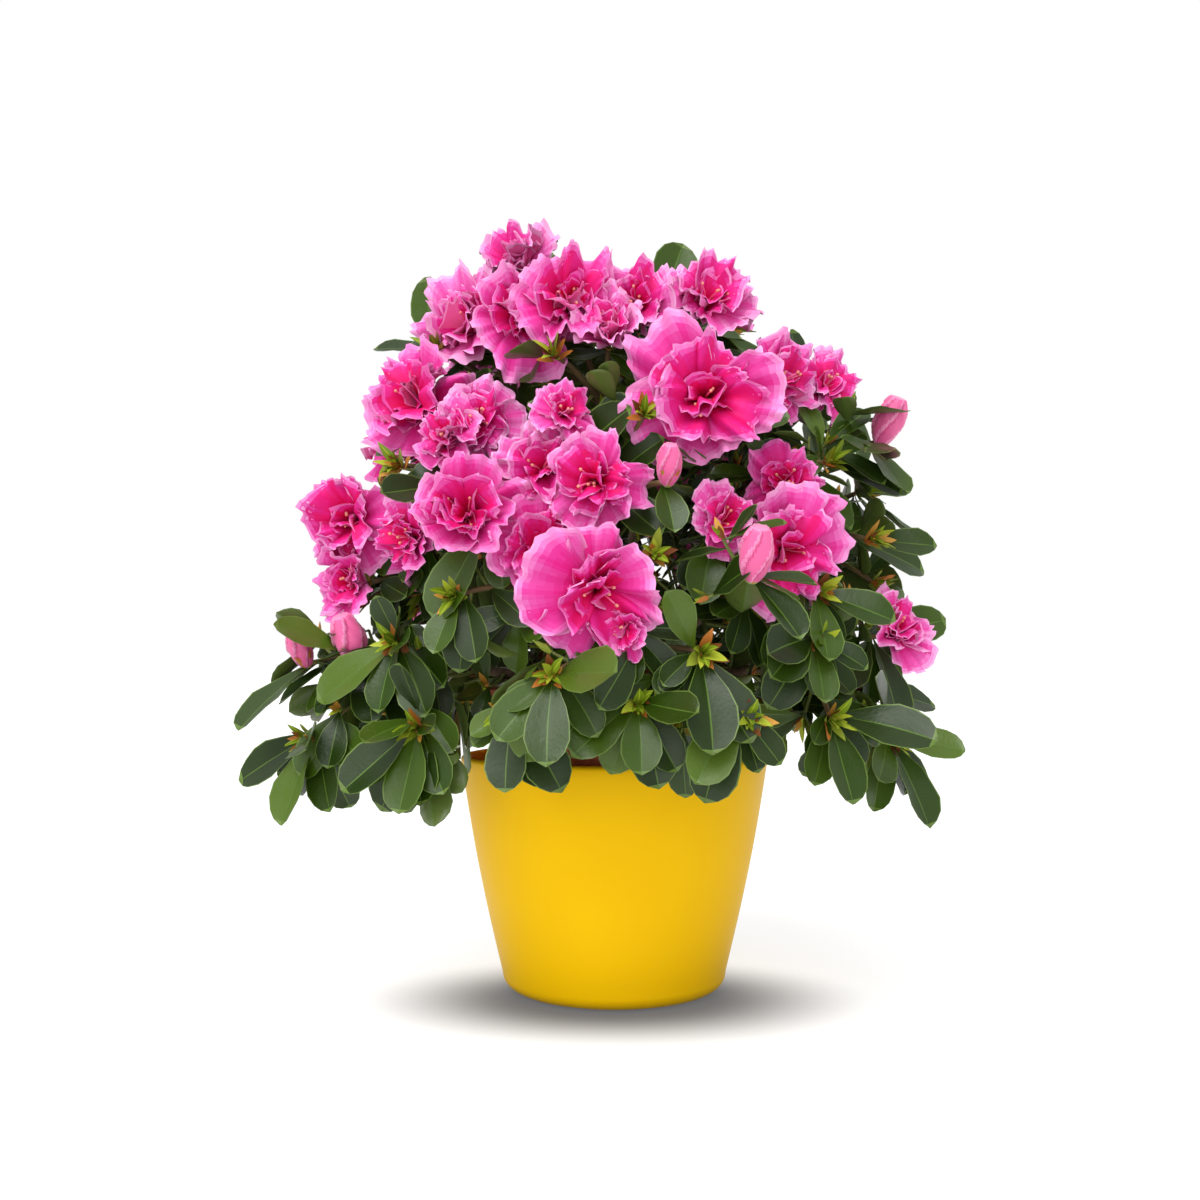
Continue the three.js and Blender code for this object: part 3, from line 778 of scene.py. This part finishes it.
def laid_out(base, *parts):
    """Points from a base, by ways that each have a grid of distances."""
    for way, distances in parts:
        base = base + way * distances[..., None]
    return base


# Leaves

broad = Sizes(
    stations=np.array([0, 0.08, 0.22, 0.4, 0.58, 0.74, 0.87, 0.95, 1.0]),
    half_widths=np.array([0.07, 0.1, 0.41, 0.77, 0.97, 0.99, 0.78, 0.46, 0.04]),
    strips=np.array([-1, -0.94, -0.5, -0.035, 0.035, 0.5, 0.94, 1]),
)
spear = Sizes(
    stations=np.array([0, 0.15, 0.35, 0.6, 0.82, 1.0]),
    half_widths=np.array([0.4, 0.8, 1.0, 0.86, 0.5, 0.04]),
    strips=np.array([-1, -0.12, 0.12, 1]),
)
scale = Sizes(
    stations=np.array([0, 0.35, 0.75, 1.0]),
    half_widths=np.array([0.5, 1.0, 0.6, 0.05]),
    strips=np.array([-1, -0.12, 0.12, 1]),
)


def add_leaf(piece, blade, rng, tones, width=0.5, thick=0.28, outline=broad):
    """A blade in its own outline, folded along its midrib and curved along its length.

    Its tones are those of its top, its underside and its midrib.
    """
    top, under, rib = tones
    base = getattr(blade, "base_seen", blade.base)
    face = np.cross(blade.side, blade.way)
    t, x = np.meshgrid(outline.stations, outline.strips, indexing="ij")
    narrow = width * (0.92 + 0.16 * rng.random())
    half = outline.half_widths[:, None] * narrow / 2
    fold = 0.06 + 0.12 * rng.random()
    droop = 0.02 + 0.1 * rng.random()
    sway = 0.05 * (rng.random() - 0.5)
    wave = 0.012 * np.sin(t * 14 + rng.random() * 6) * x
    vein = 0.008 * np.cos(pi * np.arange(len(t)))[:, None] * np.abs(x) * (1 - np.abs(x))
    high = np.abs(x) * half * fold * 2 - droop * (t ** 2 - 0.35 * t) + wave + vein
    high = high - 0.006 * (np.abs(x) < 0.1)
    wide = x * half + sway * np.sin(t * 3)
    size = blade.size
    points = laid_out(base, (blade.way, t * size), (blade.side, wide * size), (face, high * size))
    rows, columns = points.shape[0] - 1, points.shape[1] - 1
    middle = columns // 2
    shades, backs = np.full((rows, columns), top), np.full((rows, columns), under)
    # A painted highlight: a pale line along the edges and across the tip of a broad leaf.
    if outline is broad:
        shades[:, [0, -1]] = RIM_HIGHLIGHT
        shades[-1] = RIM_HIGHLIGHT
    shades[:, middle] = backs[:, middle] = rib
    normals = grid_normals(points)
    if np.sum(normals * face) < 0:
        normals = -normals
        points, normals = points[:, ::-1], normals[:, ::-1]
    shell(piece, points, thick, normals, shades, backs)


def add_scale(piece, rng, base, way, towards, size, tones, *form):
    """A blade at a place; its form is its width, thickness and outline."""
    blade = Sizes(base=base, way=way, side=unit(np.cross(way, towards)), size=size)
    add_leaf(piece, blade, rng, tones, *form)


# Flowers


def from_margin(u, v):
    return np.minimum(1 - u, 0.8 * (1 - np.abs(v)) * u)


def petal(piece, place, rng, form):
    """One ruffled petal, laid out as a fan that bends outwards from the flower's foot."""
    rows, columns = form.grid
    base, axis, out, side = place
    u = 0.05 + 0.95 * (1 - (1 - np.linspace(0, 1, rows)) ** 1.5)
    v = np.linspace(-1, 1, columns)
    v = v * (1.2 - 0.2 * v * v)
    u, v = np.meshgrid(u, v, indexing="ij")
    waves = form.waves * (0.85 + 0.3 * rng.random())
    phase = rng.random(8) * 2 * pi
    notch = form.notch * np.exp(-((v / 0.2) ** 2)) * u ** 3
    frill = 0.012 * np.sin(17 * v + phase[0]) + 0.012 * np.sin(31 * v + phase[1])
    reach = 1 - form.cleft * np.abs(v) ** 2.7 - notch + frill * u ** 5
    angle = form.half * v * (0.72 + 0.28 * np.sin(pi * np.clip(u, 0, 1) * 0.62))
    x = u * reach * np.sin(angle)
    y = u * reach * np.cos(angle)

    steps = np.linspace(0, 1.1, 45)
    lean = between(form.opening, smooth(steps / form.bends_by))
    lean = lean + form.reflex * np.clip(steps - 0.7, 0, 1) / 0.3
    width = steps[1] - steps[0]
    run = np.concatenate([[0], np.cumsum(np.sin(lean[:-1])) * width])
    climb = np.concatenate([[0], np.cumsum(np.cos(lean[:-1])) * width])
    outward, upward = np.interp(y, steps, run), np.interp(y, steps, climb)
    theta = np.interp(y, steps, lean)

    margin = smooth(1 - from_margin(u, v) / 0.2)
    ripple = 0.7 * np.sin(waves * v + phase[2]) + 0.3 * np.sin(waves * 1.9 * v + phase[3])
    lift = form.ruffle * u ** 2 * ripple * (1 - 0.35 * v ** 4)
    lift = lift + form.frill * margin * np.sin(23 * v + 3 * u + phase[4]) * u
    lift = lift + form.cup * x * x + form.twist * x - 0.06 * u * np.exp(-((v / 0.14) ** 2))
    lift = lift + 0.018 * np.sin(8 * u + phase[5]) * np.sin(4 * v + phase[0]) * u
    slide = 0.25 * form.ruffle * u ** 3 * np.cos(waves * v + phase[2])

    size = form.length
    points = laid_out(
        base, (side, (x + slide) * size), (out, (outward - np.cos(theta) * lift) * size),
        (axis, (upward + np.sin(theta) * lift) * size),
    )
    normals = grid_normals(points)
    inward = -out * np.cos(theta)[..., None] + axis * np.sin(theta)[..., None]
    if np.sum(normals * inward) < 0:
        points, normals = points[:, ::-1], -normals[:, ::-1]
        v = v[:, ::-1]

    mid_u, mid_v = (u[1:, 1:] + u[:-1, :-1]) / 2, (v[1:, 1:] + v[:-1, :-1]) / 2
    streaks = 0.5 * np.sin(13 * mid_v + phase[6]) + 0.5 * np.sin(24 * mid_v + phase[7])
    band = form.band * (1 + 0.35 * np.sin(3 * mid_v + phase[1]) + 0.3 * streaks)
    pale = smooth(1 - from_margin(mid_u, mid_v) / band)
    core = np.interp(mid_u, (0, 0.25, 0.55, 1), form.core) + 0.08 * streaks * mid_u
    tone = core + (form.pale - 0.05 * streaks - core) * pale
    tone = tone + 0.03 * np.sin(7 * mid_v + phase[5]) * (1 - pale) + form.shift
    shades = np.clip(np.round(tone * (TONES - 1)), 0, TONES - 1).astype(int)
    backs = TONES + (mid_u > 0.5).astype(int) + (pale > 0.5).astype(int)
    shell(piece, points, PETAL_THICKNESS, normals, shades, backs)


# Rows and columns of a petal in each of the three whorls: in a large flower that the camera
# faces, in any other on that side, and in those behind.
FINEST = ((12, 37), (11, 31), (8, 17))
FINE = ((10, 29), (9, 25), (7, 15))
PLAIN = ((8, 21), (8, 17), (6, 11))
LARGE_FROM = 46
PETAL_THICKNESS = 0.3
STAMENS, CALYX_TIPS = 5, 5
# The outer, the middle and the inner whorl.
whorl_table = {
    "count": (5, 6, 4), "length": (0.64, 0.53, 0.4), "half": (39, 35, 30),
    "opening": ((20, 77), (12, 60), (4, 36)), "uneven": (0.16, 0.26, 0.3),
    "bends_by": (0.62, 0.85, 0.95), "reflex": (24, 44, 44), "cup": (-0.06, 0.04, 0.3),
    "twist": (0.12, 0.3, 0.6), "ruffle": (0.12, 0.17, 0.2), "waves": (6, 6, 5),
    "rise": (0, 0.03, 0.06), "turn": (0, 36, 15), "frill": (0.042, 0.06, 0.05),
    "notch": (0.06, 0.06, 0.03), "sway": (0.15, 0.24, 0.35), "cleft": (0.42, 0.38, 0.36),
    "pale": (0.97, 0.94, 0.86), "band": (0.2, 0.17, 0.16),
    "core": ((0.28, 0.5, 0.66, 0.78), (0.12, 0.32, 0.47, 0.6), (0.06, 0.22, 0.38, 0.52)),
}
whorls = [Sizes(**dict(zip(whorl_table, row))) for row in zip(*whorl_table.values())]


def anther_radius(share):
    return 0.2 + 0.5 * sin(pi * (0.15 + 0.7 * share))


def add_flower(petals, flower, seed, fine):
    """A double flower: three whorls of petals, stamens in its throat, a green calyx behind."""
    rng = default_rng(seed)
    across, over = square_to(flower.axis)
    shift = 0.035 * rng.standard_normal()
    openness = np.clip(0.96 + 0.14 * rng.standard_normal(), 0.7, 1.12)
    lean_to = rng.random() * 2 * pi
    tilt = np.clip(0.28 * rng.standard_normal(2), -0.5, 0.5)
    axis = flower.axis + across * tilt[0] + over * tilt[1]
    if fine:
        axis = axis - np.array([0.0, 0.7, 0.0]) * max(0.0, flower.axis[2])
    axis = unit(axis)
    across, over = square_to(axis)
    large = flower.size > LARGE_FROM
    grids = (FINEST if large else FINE) if fine else PLAIN
    for whorl, grid in zip(whorls, grids):
        for i in range(whorl.count):
            angle = radians(flower.turn + whorl.turn + 360 / whorl.count * i)
            angle += whorl.sway * rng.standard_normal()
            out = around(across, over, angle)
            opening = [radians(a) for a in whorl.opening]
            one_sided = 0.32 * cos(angle - lean_to)
            opening[1] = opening[1] * openness + one_sided + whorl.uneven * rng.standard_normal()
            form = Sizes(**vars(whorl))
            form.grid, form.opening, form.reflex = grid, opening, radians(whorl.reflex)
            form.length = flower.size * whorl.length * (1 + 0.09 * rng.standard_normal())
            form.half = radians(whorl.half) * (1 + 0.1 * rng.standard_normal())
            form.twist = whorl.twist * rng.choice([-1, 1])
            form.ruffle = whorl.ruffle * (0.7 + 0.6 * rng.random())
            form.shift = shift + 0.02 * rng.standard_normal()
            foot = flower.base + axis * flower.size * (whorl.rise + 0.006 * i)
            petal(petals, (foot, axis, out, np.cross(axis, out)), rng, form)
    for i in range(STAMENS):
        out = around(across, over, rng.random() * 2 * pi)
        foot = flower.base + axis * flower.size * 0.08
        length = flower.size * (0.24 + 0.1 * rng.random())
        end = foot + axis * length + out * length * (0.15 + 0.35 * rng.random())
        curve = Bezier(foot, foot + axis * length * 0.6, end)
        tube(stamens, curve, lambda t: 0.45 - 0.15 * t, 4, 4)
        tip = Bezier(end, end + axis * 0.6, end + axis * 1.3 + out * 0.4)
        tube(stamens, tip, anther_radius, 5, 3, 1)
    for i in range(CALYX_TIPS):
        out = around(across, over, radians(360 / CALYX_TIPS * i + 20))
        foot = flower.base + out * 1.2
        way = unit(axis * 0.8 + out)
        add_scale(bud_scales, rng, foot, way, axis, 7.5, (3, 2, 3), 0.5, 0.25, scale)


# Buds and rosette centres


def add_bud(base, axis, length, seed):
    """A bud of five petals wrapped round each other, over a few scales."""
    rng = default_rng(seed)
    across, over = square_to(axis)
    rows, columns = 21, 50
    t = np.linspace(0, 1, rows)[:, None]
    turn = np.arange(columns)[None] * 2 * pi / columns
    body = np.sin(pi * (0.06 + 0.8 * t)) ** 0.7
    wrap = (5 * (turn - 1.5 * t)) % (2 * pi) / (2 * pi)
    radius = 0.29 * length * body * (0.86 + 0.2 * wrap)
    radius = radius * (1 + 0.05 * t ** 2 * np.sin(9 * turn + 8 * t + rng.random() * 6))
    high = (t * 0.98 - 0.08) * length
    points = laid_out(
        base, (axis, high + 0 * turn), (across, radius * np.cos(turn)),
        (over, radius * np.sin(turn)),
    )
    wrapped = (wrap[1:] + wrap[:-1]) / 2 + 0 * turn
    shades = np.where(wrapped > 0.78, 1, np.where(wrapped < 0.12, 2, 0))
    shades[0] = 3
    add_rings(buds, points, [points[0].mean(0), points[-1].mean(0)], shades, (3, 1))
    for i in range(7):
        out = around(across, over, radians(GOLDEN_ANGLE * i))
        way = unit(axis + out * (0.25 + 0.2 * rng.random()))
        foot = base - axis * 0.06 * length + out * 0.1 * length
        size, tones = 6 + 3 * rng.random(), (i % 4, 1, i % 4)
        add_scale(bud_scales, rng, foot, way, -out, size, tones, 0.5, 0.35, spear)


def add_centre(base, axis, seed, big):
    """Brown and green bud scales and narrow young leaves at the middle of a whorl."""
    rng = default_rng(seed)
    across, over = square_to(axis)
    for i in range(10 if big else 3):
        out = around(across, over, radians(GOLDEN_ANGLE * i + 360 * rng.random() * 0.1))
        spreading = 0.1 + 0.12 * i * (0.6 + 0.6 * rng.random())
        way = unit(axis + out * spreading)
        shade = rng.integers(0, 4)
        size = (6 + 0.5 * i) * (0.8 + 0.5 * rng.random())
        foot = base + out * 0.9 - axis * 0.3 * i
        outline = spear if big else scale
        add_scale(bud_scales, rng, foot, way, -out, size, [shade] * 3, 0.36, 0.4, outline)
    for i in range(6 if big else 1):
        out = around(across, over, radians(GOLDEN_ANGLE * i + 60 + 50 * rng.random()))
        way = unit(axis + out * (0.2 + 0.6 * rng.random()))
        size = (8 if big else 6) + 7 * rng.random()
        tones = (YOUNG if rng.random() < 0.6 else YOUNGEST, YOUNG, YOUNGEST)
        add_scale(young_leaves, rng, base, way, axis + UP * 0.3, size, tones, 0.3, 0.3, spear)


# Spots in a small whorl's centre that must be clear of every flower, by their distance.
CENTRE_STEPS = (4, 9, 15)

petals = {r: Piece(f"petals_{r}", "blossom", petal_finishes) for r in regions}
leaves = {r: Piece(f"leaves_{r}", "leaves", leaf_finishes) for r in regions}
stamens = Piece("stamens", "blossom", stamen_finishes)
bud_scales = Piece("bud_scales", "leaves", scale_finishes)
young_leaves = Piece("young_leaves", "leaves", leaf_finishes)
buds = Piece("buds", "blossom", bud_finishes)
twigs = Piece("twigs", "bark", twig_finishes)

taper = twig.tip * 0.85
for index, (m, g) in enumerate(zip(masses, growths)):
    rng = default_rng(50 + index)
    seen = m.region not in ("back", "rear")
    stub = Bezier(m.root, m.root + m.root_way * norm(m.hub - m.root) * 0.4, m.hub)
    tube(twigs, stub, lambda t: bough.tip + 0.1 * t, 8, 6)
    for order, s in enumerate(g.shoots):
        tube(twigs, s.curve, lambda t: twig.hub + (taper - twig.hub) * t, 7, 12)
        seed = 1000 * index + 10 * order + 7
        if s.tip.kind == "bud":
            add_bud(s.base, s.axis, s.tip.size, seed)
        if s.tip.kind == "leaf":
            add_centre(s.curve.at(1), s.axis, seed, True)
    for curve in g.fine:
        tube(twigs, curve, lambda t: 0.95 - 0.35 * t, 5, 4, 1)
    for end in g.small:
        ahead = np.array([end.base + end.axis * step for step in CENTRE_STEPS])
        if not inside_flowers(every_flower, ahead):
            add_centre(end.base, end.axis, end.seed, False)
    for flower in g.own_flowers:
        seed = 1000 * index + 10 * flower.order + 3
        add_flower(petals[m.region], flower, seed, seen)
    for blade in g.leaves:
        shade = rng.choice(5, p=[0.24, 0.28, 0.24, 0.14, 0.1])
        blade.size *= 0.9
        add_leaf(leaves[m.region], blade, rng, (shade, UNDER, RIB))

foliage = {r: [f"{m.name}_foliage" for m in masses if m.region == r] for r in regions}
all_foliage = sum(foliage.values(), [])
for r in regions:
    petals[r].build(foliage[r])
    leaves[r].build(foliage[r])
for piece in (stamens, bud_scales, young_leaves, buds, twigs):
    piece.build(all_foliage)

# Boughs, stem, peat and pots

boughs = Piece("boughs", "bark", [bark])
for index, m in enumerate(masses):
    rng = default_rng(900 + index)
    shift = rng.random(4) * 6

    def ridges(t, turn):
        lengthwise = 0.07 * np.sin(3 * turn + shift[0] + 5 * t) + 0.05 * np.sin(5 * turn - 7 * t)
        knots = 0.06 * np.sin(24 * t + shift[1]) + 0.04 * np.sin(41 * t + shift[2] + turn)
        return lengthwise + knots

    tube(boughs, m.curve, bough_radius, 14, 40, relief=ridges)
boughs.build([f"{m.name}_bough" for m in masses])

trunk = Piece("trunk", "bark", [bark])


def trunk_relief(t, turn):
    plates = 0.05 * np.sin(5 * turn + 6 * t) + 0.035 * np.sin(9 * turn - 11 * t)
    return plates + 0.03 * np.sin(30 * t + 2 * np.sin(3 * turn))


trunk_curve = Bezier(stem_foot, (stem_foot + stem_tip) / 2, stem_tip)
tube(trunk, trunk_curve, stem_radius, 32, 44, relief=trunk_relief)
points = trunk.points[0]
level = points[:, 2] < stem_foot[2] + 1.5
points[level, 2] = stem_foot[2]
trunk.build(["stem"])


def even(k, turn):
    return 0 * turn, 0 * turn


def turned(piece, node, profile, sides, ripple=even):
    """A closed turned shape, from (radius, height) pairs that start and end on the axis.

    The ripple's shifts of radius and height come from a call each, since each draws anew.
    """
    turn = np.arange(sides) * 2 * pi / sides
    rings = []
    for k, (radius, height) in enumerate(profile[1:-1]):
        r = radius + ripple(k, turn)[0]
        h = height + ripple(k, turn)[1]
        rings.append(np.stack([r * np.cos(turn), r * np.sin(turn), h], axis=-1))
    add_rings(piece, rings, [(0, 0, profile[0][1]), (0, 0, profile[-1][1])], 0)
    piece.build([node])


def arc(centre, radius, start, end, steps):
    turns = [radians(start + (end - start) * i / steps) for i in range(steps + 1)]
    return [(centre[0] + radius * cos(a), centre[1] + radius * sin(a)) for a in turns]


def cover_radius(height):
    share = (height - cover.fillet) / (cover.height - cover.fillet)
    return lerp(cover.foot, cover.rim, share) + cover.bulge * sin(pi * share)


lip = cover.wall / 2
lip_height = cover.height - lip
walls = np.linspace(cover.fillet, lip_height, 26)[1:-1]
profile = [(0, 0), (18, 0), (36, 0)]
profile += arc((cover.foot - cover.fillet, cover.fillet), cover.fillet, -90, 0, 8)
profile += [(cover_radius(h), h) for h in walls]
profile += arc((cover_radius(lip_height) - lip, lip_height), lip, 0, 180, 8)
profile += [(cover_radius(h) - cover.wall, h) for h in walls[::-1] if h > 16]
inner_foot = cover.foot - cover.wall
profile += [(inner_foot + 0.6, cover.floor + 4), (inner_foot - 4, cover.floor)]
profile += [(20, cover.floor), (0, cover.floor)]


def thrown(k, turn):
    """The slight unevenness of a thrown and glazed wall."""
    radius, height = profile[k + 1]
    if height < cover.fillet or radius < 40:
        return even(k, turn)
    soft = 0.12 * np.sin(2 * turn + height * 0.03) + 0.06 * np.sin(5 * turn - height * 0.05)
    return soft, 0 * turn


turned(Piece("glazed_cover_pot", "glazed_pot", [glaze]), "cover_pot", profile, 144, thrown)

neck = nursery.height - nursery.collar_height
base, shoulder, collar, rim = nursery.base, nursery.shoulder, nursery.collar, nursery.rim
wall, top = nursery.wall, nursery.height
outer = [
    (0, 0), (20, 0), (base - 1, 0), (base, 1), (shoulder - 0.6, neck - 4),
    (shoulder, neck - 2), (collar - 0.5, neck - 0.3), (collar, neck + 0.6),
    (rim - 0.3, top - 3), (rim, top - 0.9), (rim - 0.5, top), (rim - wall + 0.4, top),
    (rim - wall, top - 0.6), (collar - wall, neck), (shoulder - wall, neck - 4),
    (base - wall, nursery.floor), (15, nursery.floor), (0, nursery.floor),
]
inner_pot = Piece("clay_coloured_pot", "nursery_pot", [clay])
turned(inner_pot, "nursery_pot", [(r, h + nursery_base) for r, h in outer], 128)

inset = wall + root_ball.inset
soil_edge = soil_top - root_ball.crown
soil_base = nursery_base + nursery.floor + CLEARANCE
rng = default_rng(77)
profile = [
    (0, soil_base), (base - inset, soil_base), (shoulder - inset, nursery_base + neck - 4),
    (collar - inset, nursery_base + neck), (collar - inset, soil_edge),
]
profile += [
    ((collar - inset) * share, soil_top - root_ball.crown * share * share - 0.6)
    for share in np.linspace(1, 0.03, 46)[1:]
]
profile += [(0, soil_top - 0.6)]


def crumbs(k, turn):
    if k < 4:
        return even(k, turn)
    near_stem = smooth((profile[k + 1][0] - 9) / 8)
    rough = np.clip(rng.standard_normal(len(turn)), -1.3, 1.5) * 0.75
    swell = 0.5 * np.sin(3 * turn + k * 0.3) + 0.4 * np.sin(7 * turn - k * 0.5)
    return 0.3 * rng.standard_normal(len(turn)), (rough + swell) * near_stem


turned(Piece("peat_top", "peat", [peat]), "root_ball", profile, 160, crumbs)

# Floor, light and camera

floor_mesh = bpy.data.meshes.new("floor")
corners = [(-12, -12, 0), (12, -12, 0), (12, 12, 0), (-12, 12, 0)]
floor_mesh.from_pydata(corners, [], [(0, 1, 2, 3)])
floor = placed("floor", floor_mesh)
floor.location.z = -0.0005


def floor_paint():
    """White, with a painted shadow under the pot: a soft grey round, darkest at its middle."""
    paint = finish("floor_paint", (252, 252, 252), 0.9, grain=40, bump=0.02)
    tree = paint.node_tree
    place = add_node(tree, "TexCoord")
    flattened = add_node(tree, "Mapping", Location=(0, 0.036, 0), Scale=(1, 1.5, 1))
    distance = add_node(tree, "VectorMath")
    distance.operation = "LENGTH"
    painted_shadow_fade = add_node(tree, "MapRange", From_Min=0.04, From_Max=0.12)
    painted_shadow_fade.interpolation_type = "SMOOTHSTEP"
    # The painted shadow: a dark grey at its middle that fades to white.
    tones = add_node(tree, "ValToRGB")
    tones.color_ramp.elements[0].color = (0.155, 0.157, 0.163, 1)
    tones.color_ramp.elements[1].color = (0.98, 0.98, 0.98, 1)
    # The floor glows in the same tones, so that it stays white outside the painted shadow.
    shader = fill(tree.nodes["Principled BSDF"], Emission_Strength=0.72)
    dimmed = add_node(tree, "VectorMath")
    dimmed.operation = "SCALE"
    fill(dimmed, Scale=0.42)
    join(
        tree, (place, "Object", flattened, "Vector"), (flattened, "Vector", distance, "Vector"),
        (distance, "Value", painted_shadow_fade, "Value"), (painted_shadow_fade, "Result", tones, "Fac"),
        (tones, "Color", dimmed, "Vector"), (dimmed, "Vector", shader, "Base Color"),
        (tones, "Color", shader, "Emission Color"),
    )
    return paint


floor_mesh.materials.append(floor_paint())

world = bpy.data.worlds.new("studio")
world.use_nodes = True
tree = world.node_tree
backdrop = fill(tree.nodes["Background"], Color=(1, 1, 1, 1))
path = add_node(tree, "LightPath")
strength = add_node(tree, "MapRange", To_Min=0.68, To_Max=1.0)
join(tree, (path, "Is Camera Ray", strength, "Value"), (strength, "Result", backdrop, "Strength"))
scene.world = world


def soft_light(name, azimuth, elevation, strength, width):
    """A broad far light, which lights the floor evenly out to the horizon. Angles in degrees."""
    light = bpy.data.lights.new(name, "SUN")
    light.energy, light.angle = strength, radians(width)
    placed(name, light).rotation_euler = (radians(90 - elevation), 0, radians(azimuth))


soft_light("key", -28, 58, 2.15, 45)
soft_light("fill", -12, 14, 1.0, 60)

scene.view_settings.view_transform = "Standard"

SENSOR, FOCAL_PIXELS, PHOTO_WIDTH = 36, 1306, 1200
camera_data = bpy.data.cameras.new("camera")
camera_data.sensor_width = SENSOR
camera_data.lens = SENSOR * FOCAL_PIXELS / PHOTO_WIDTH
camera = placed("camera", camera_data)
camera.location = (-0.0064, -0.600, 0.150)
camera.rotation_euler = (radians(90 + 2.32), 0, 0)
scene.camera = camera
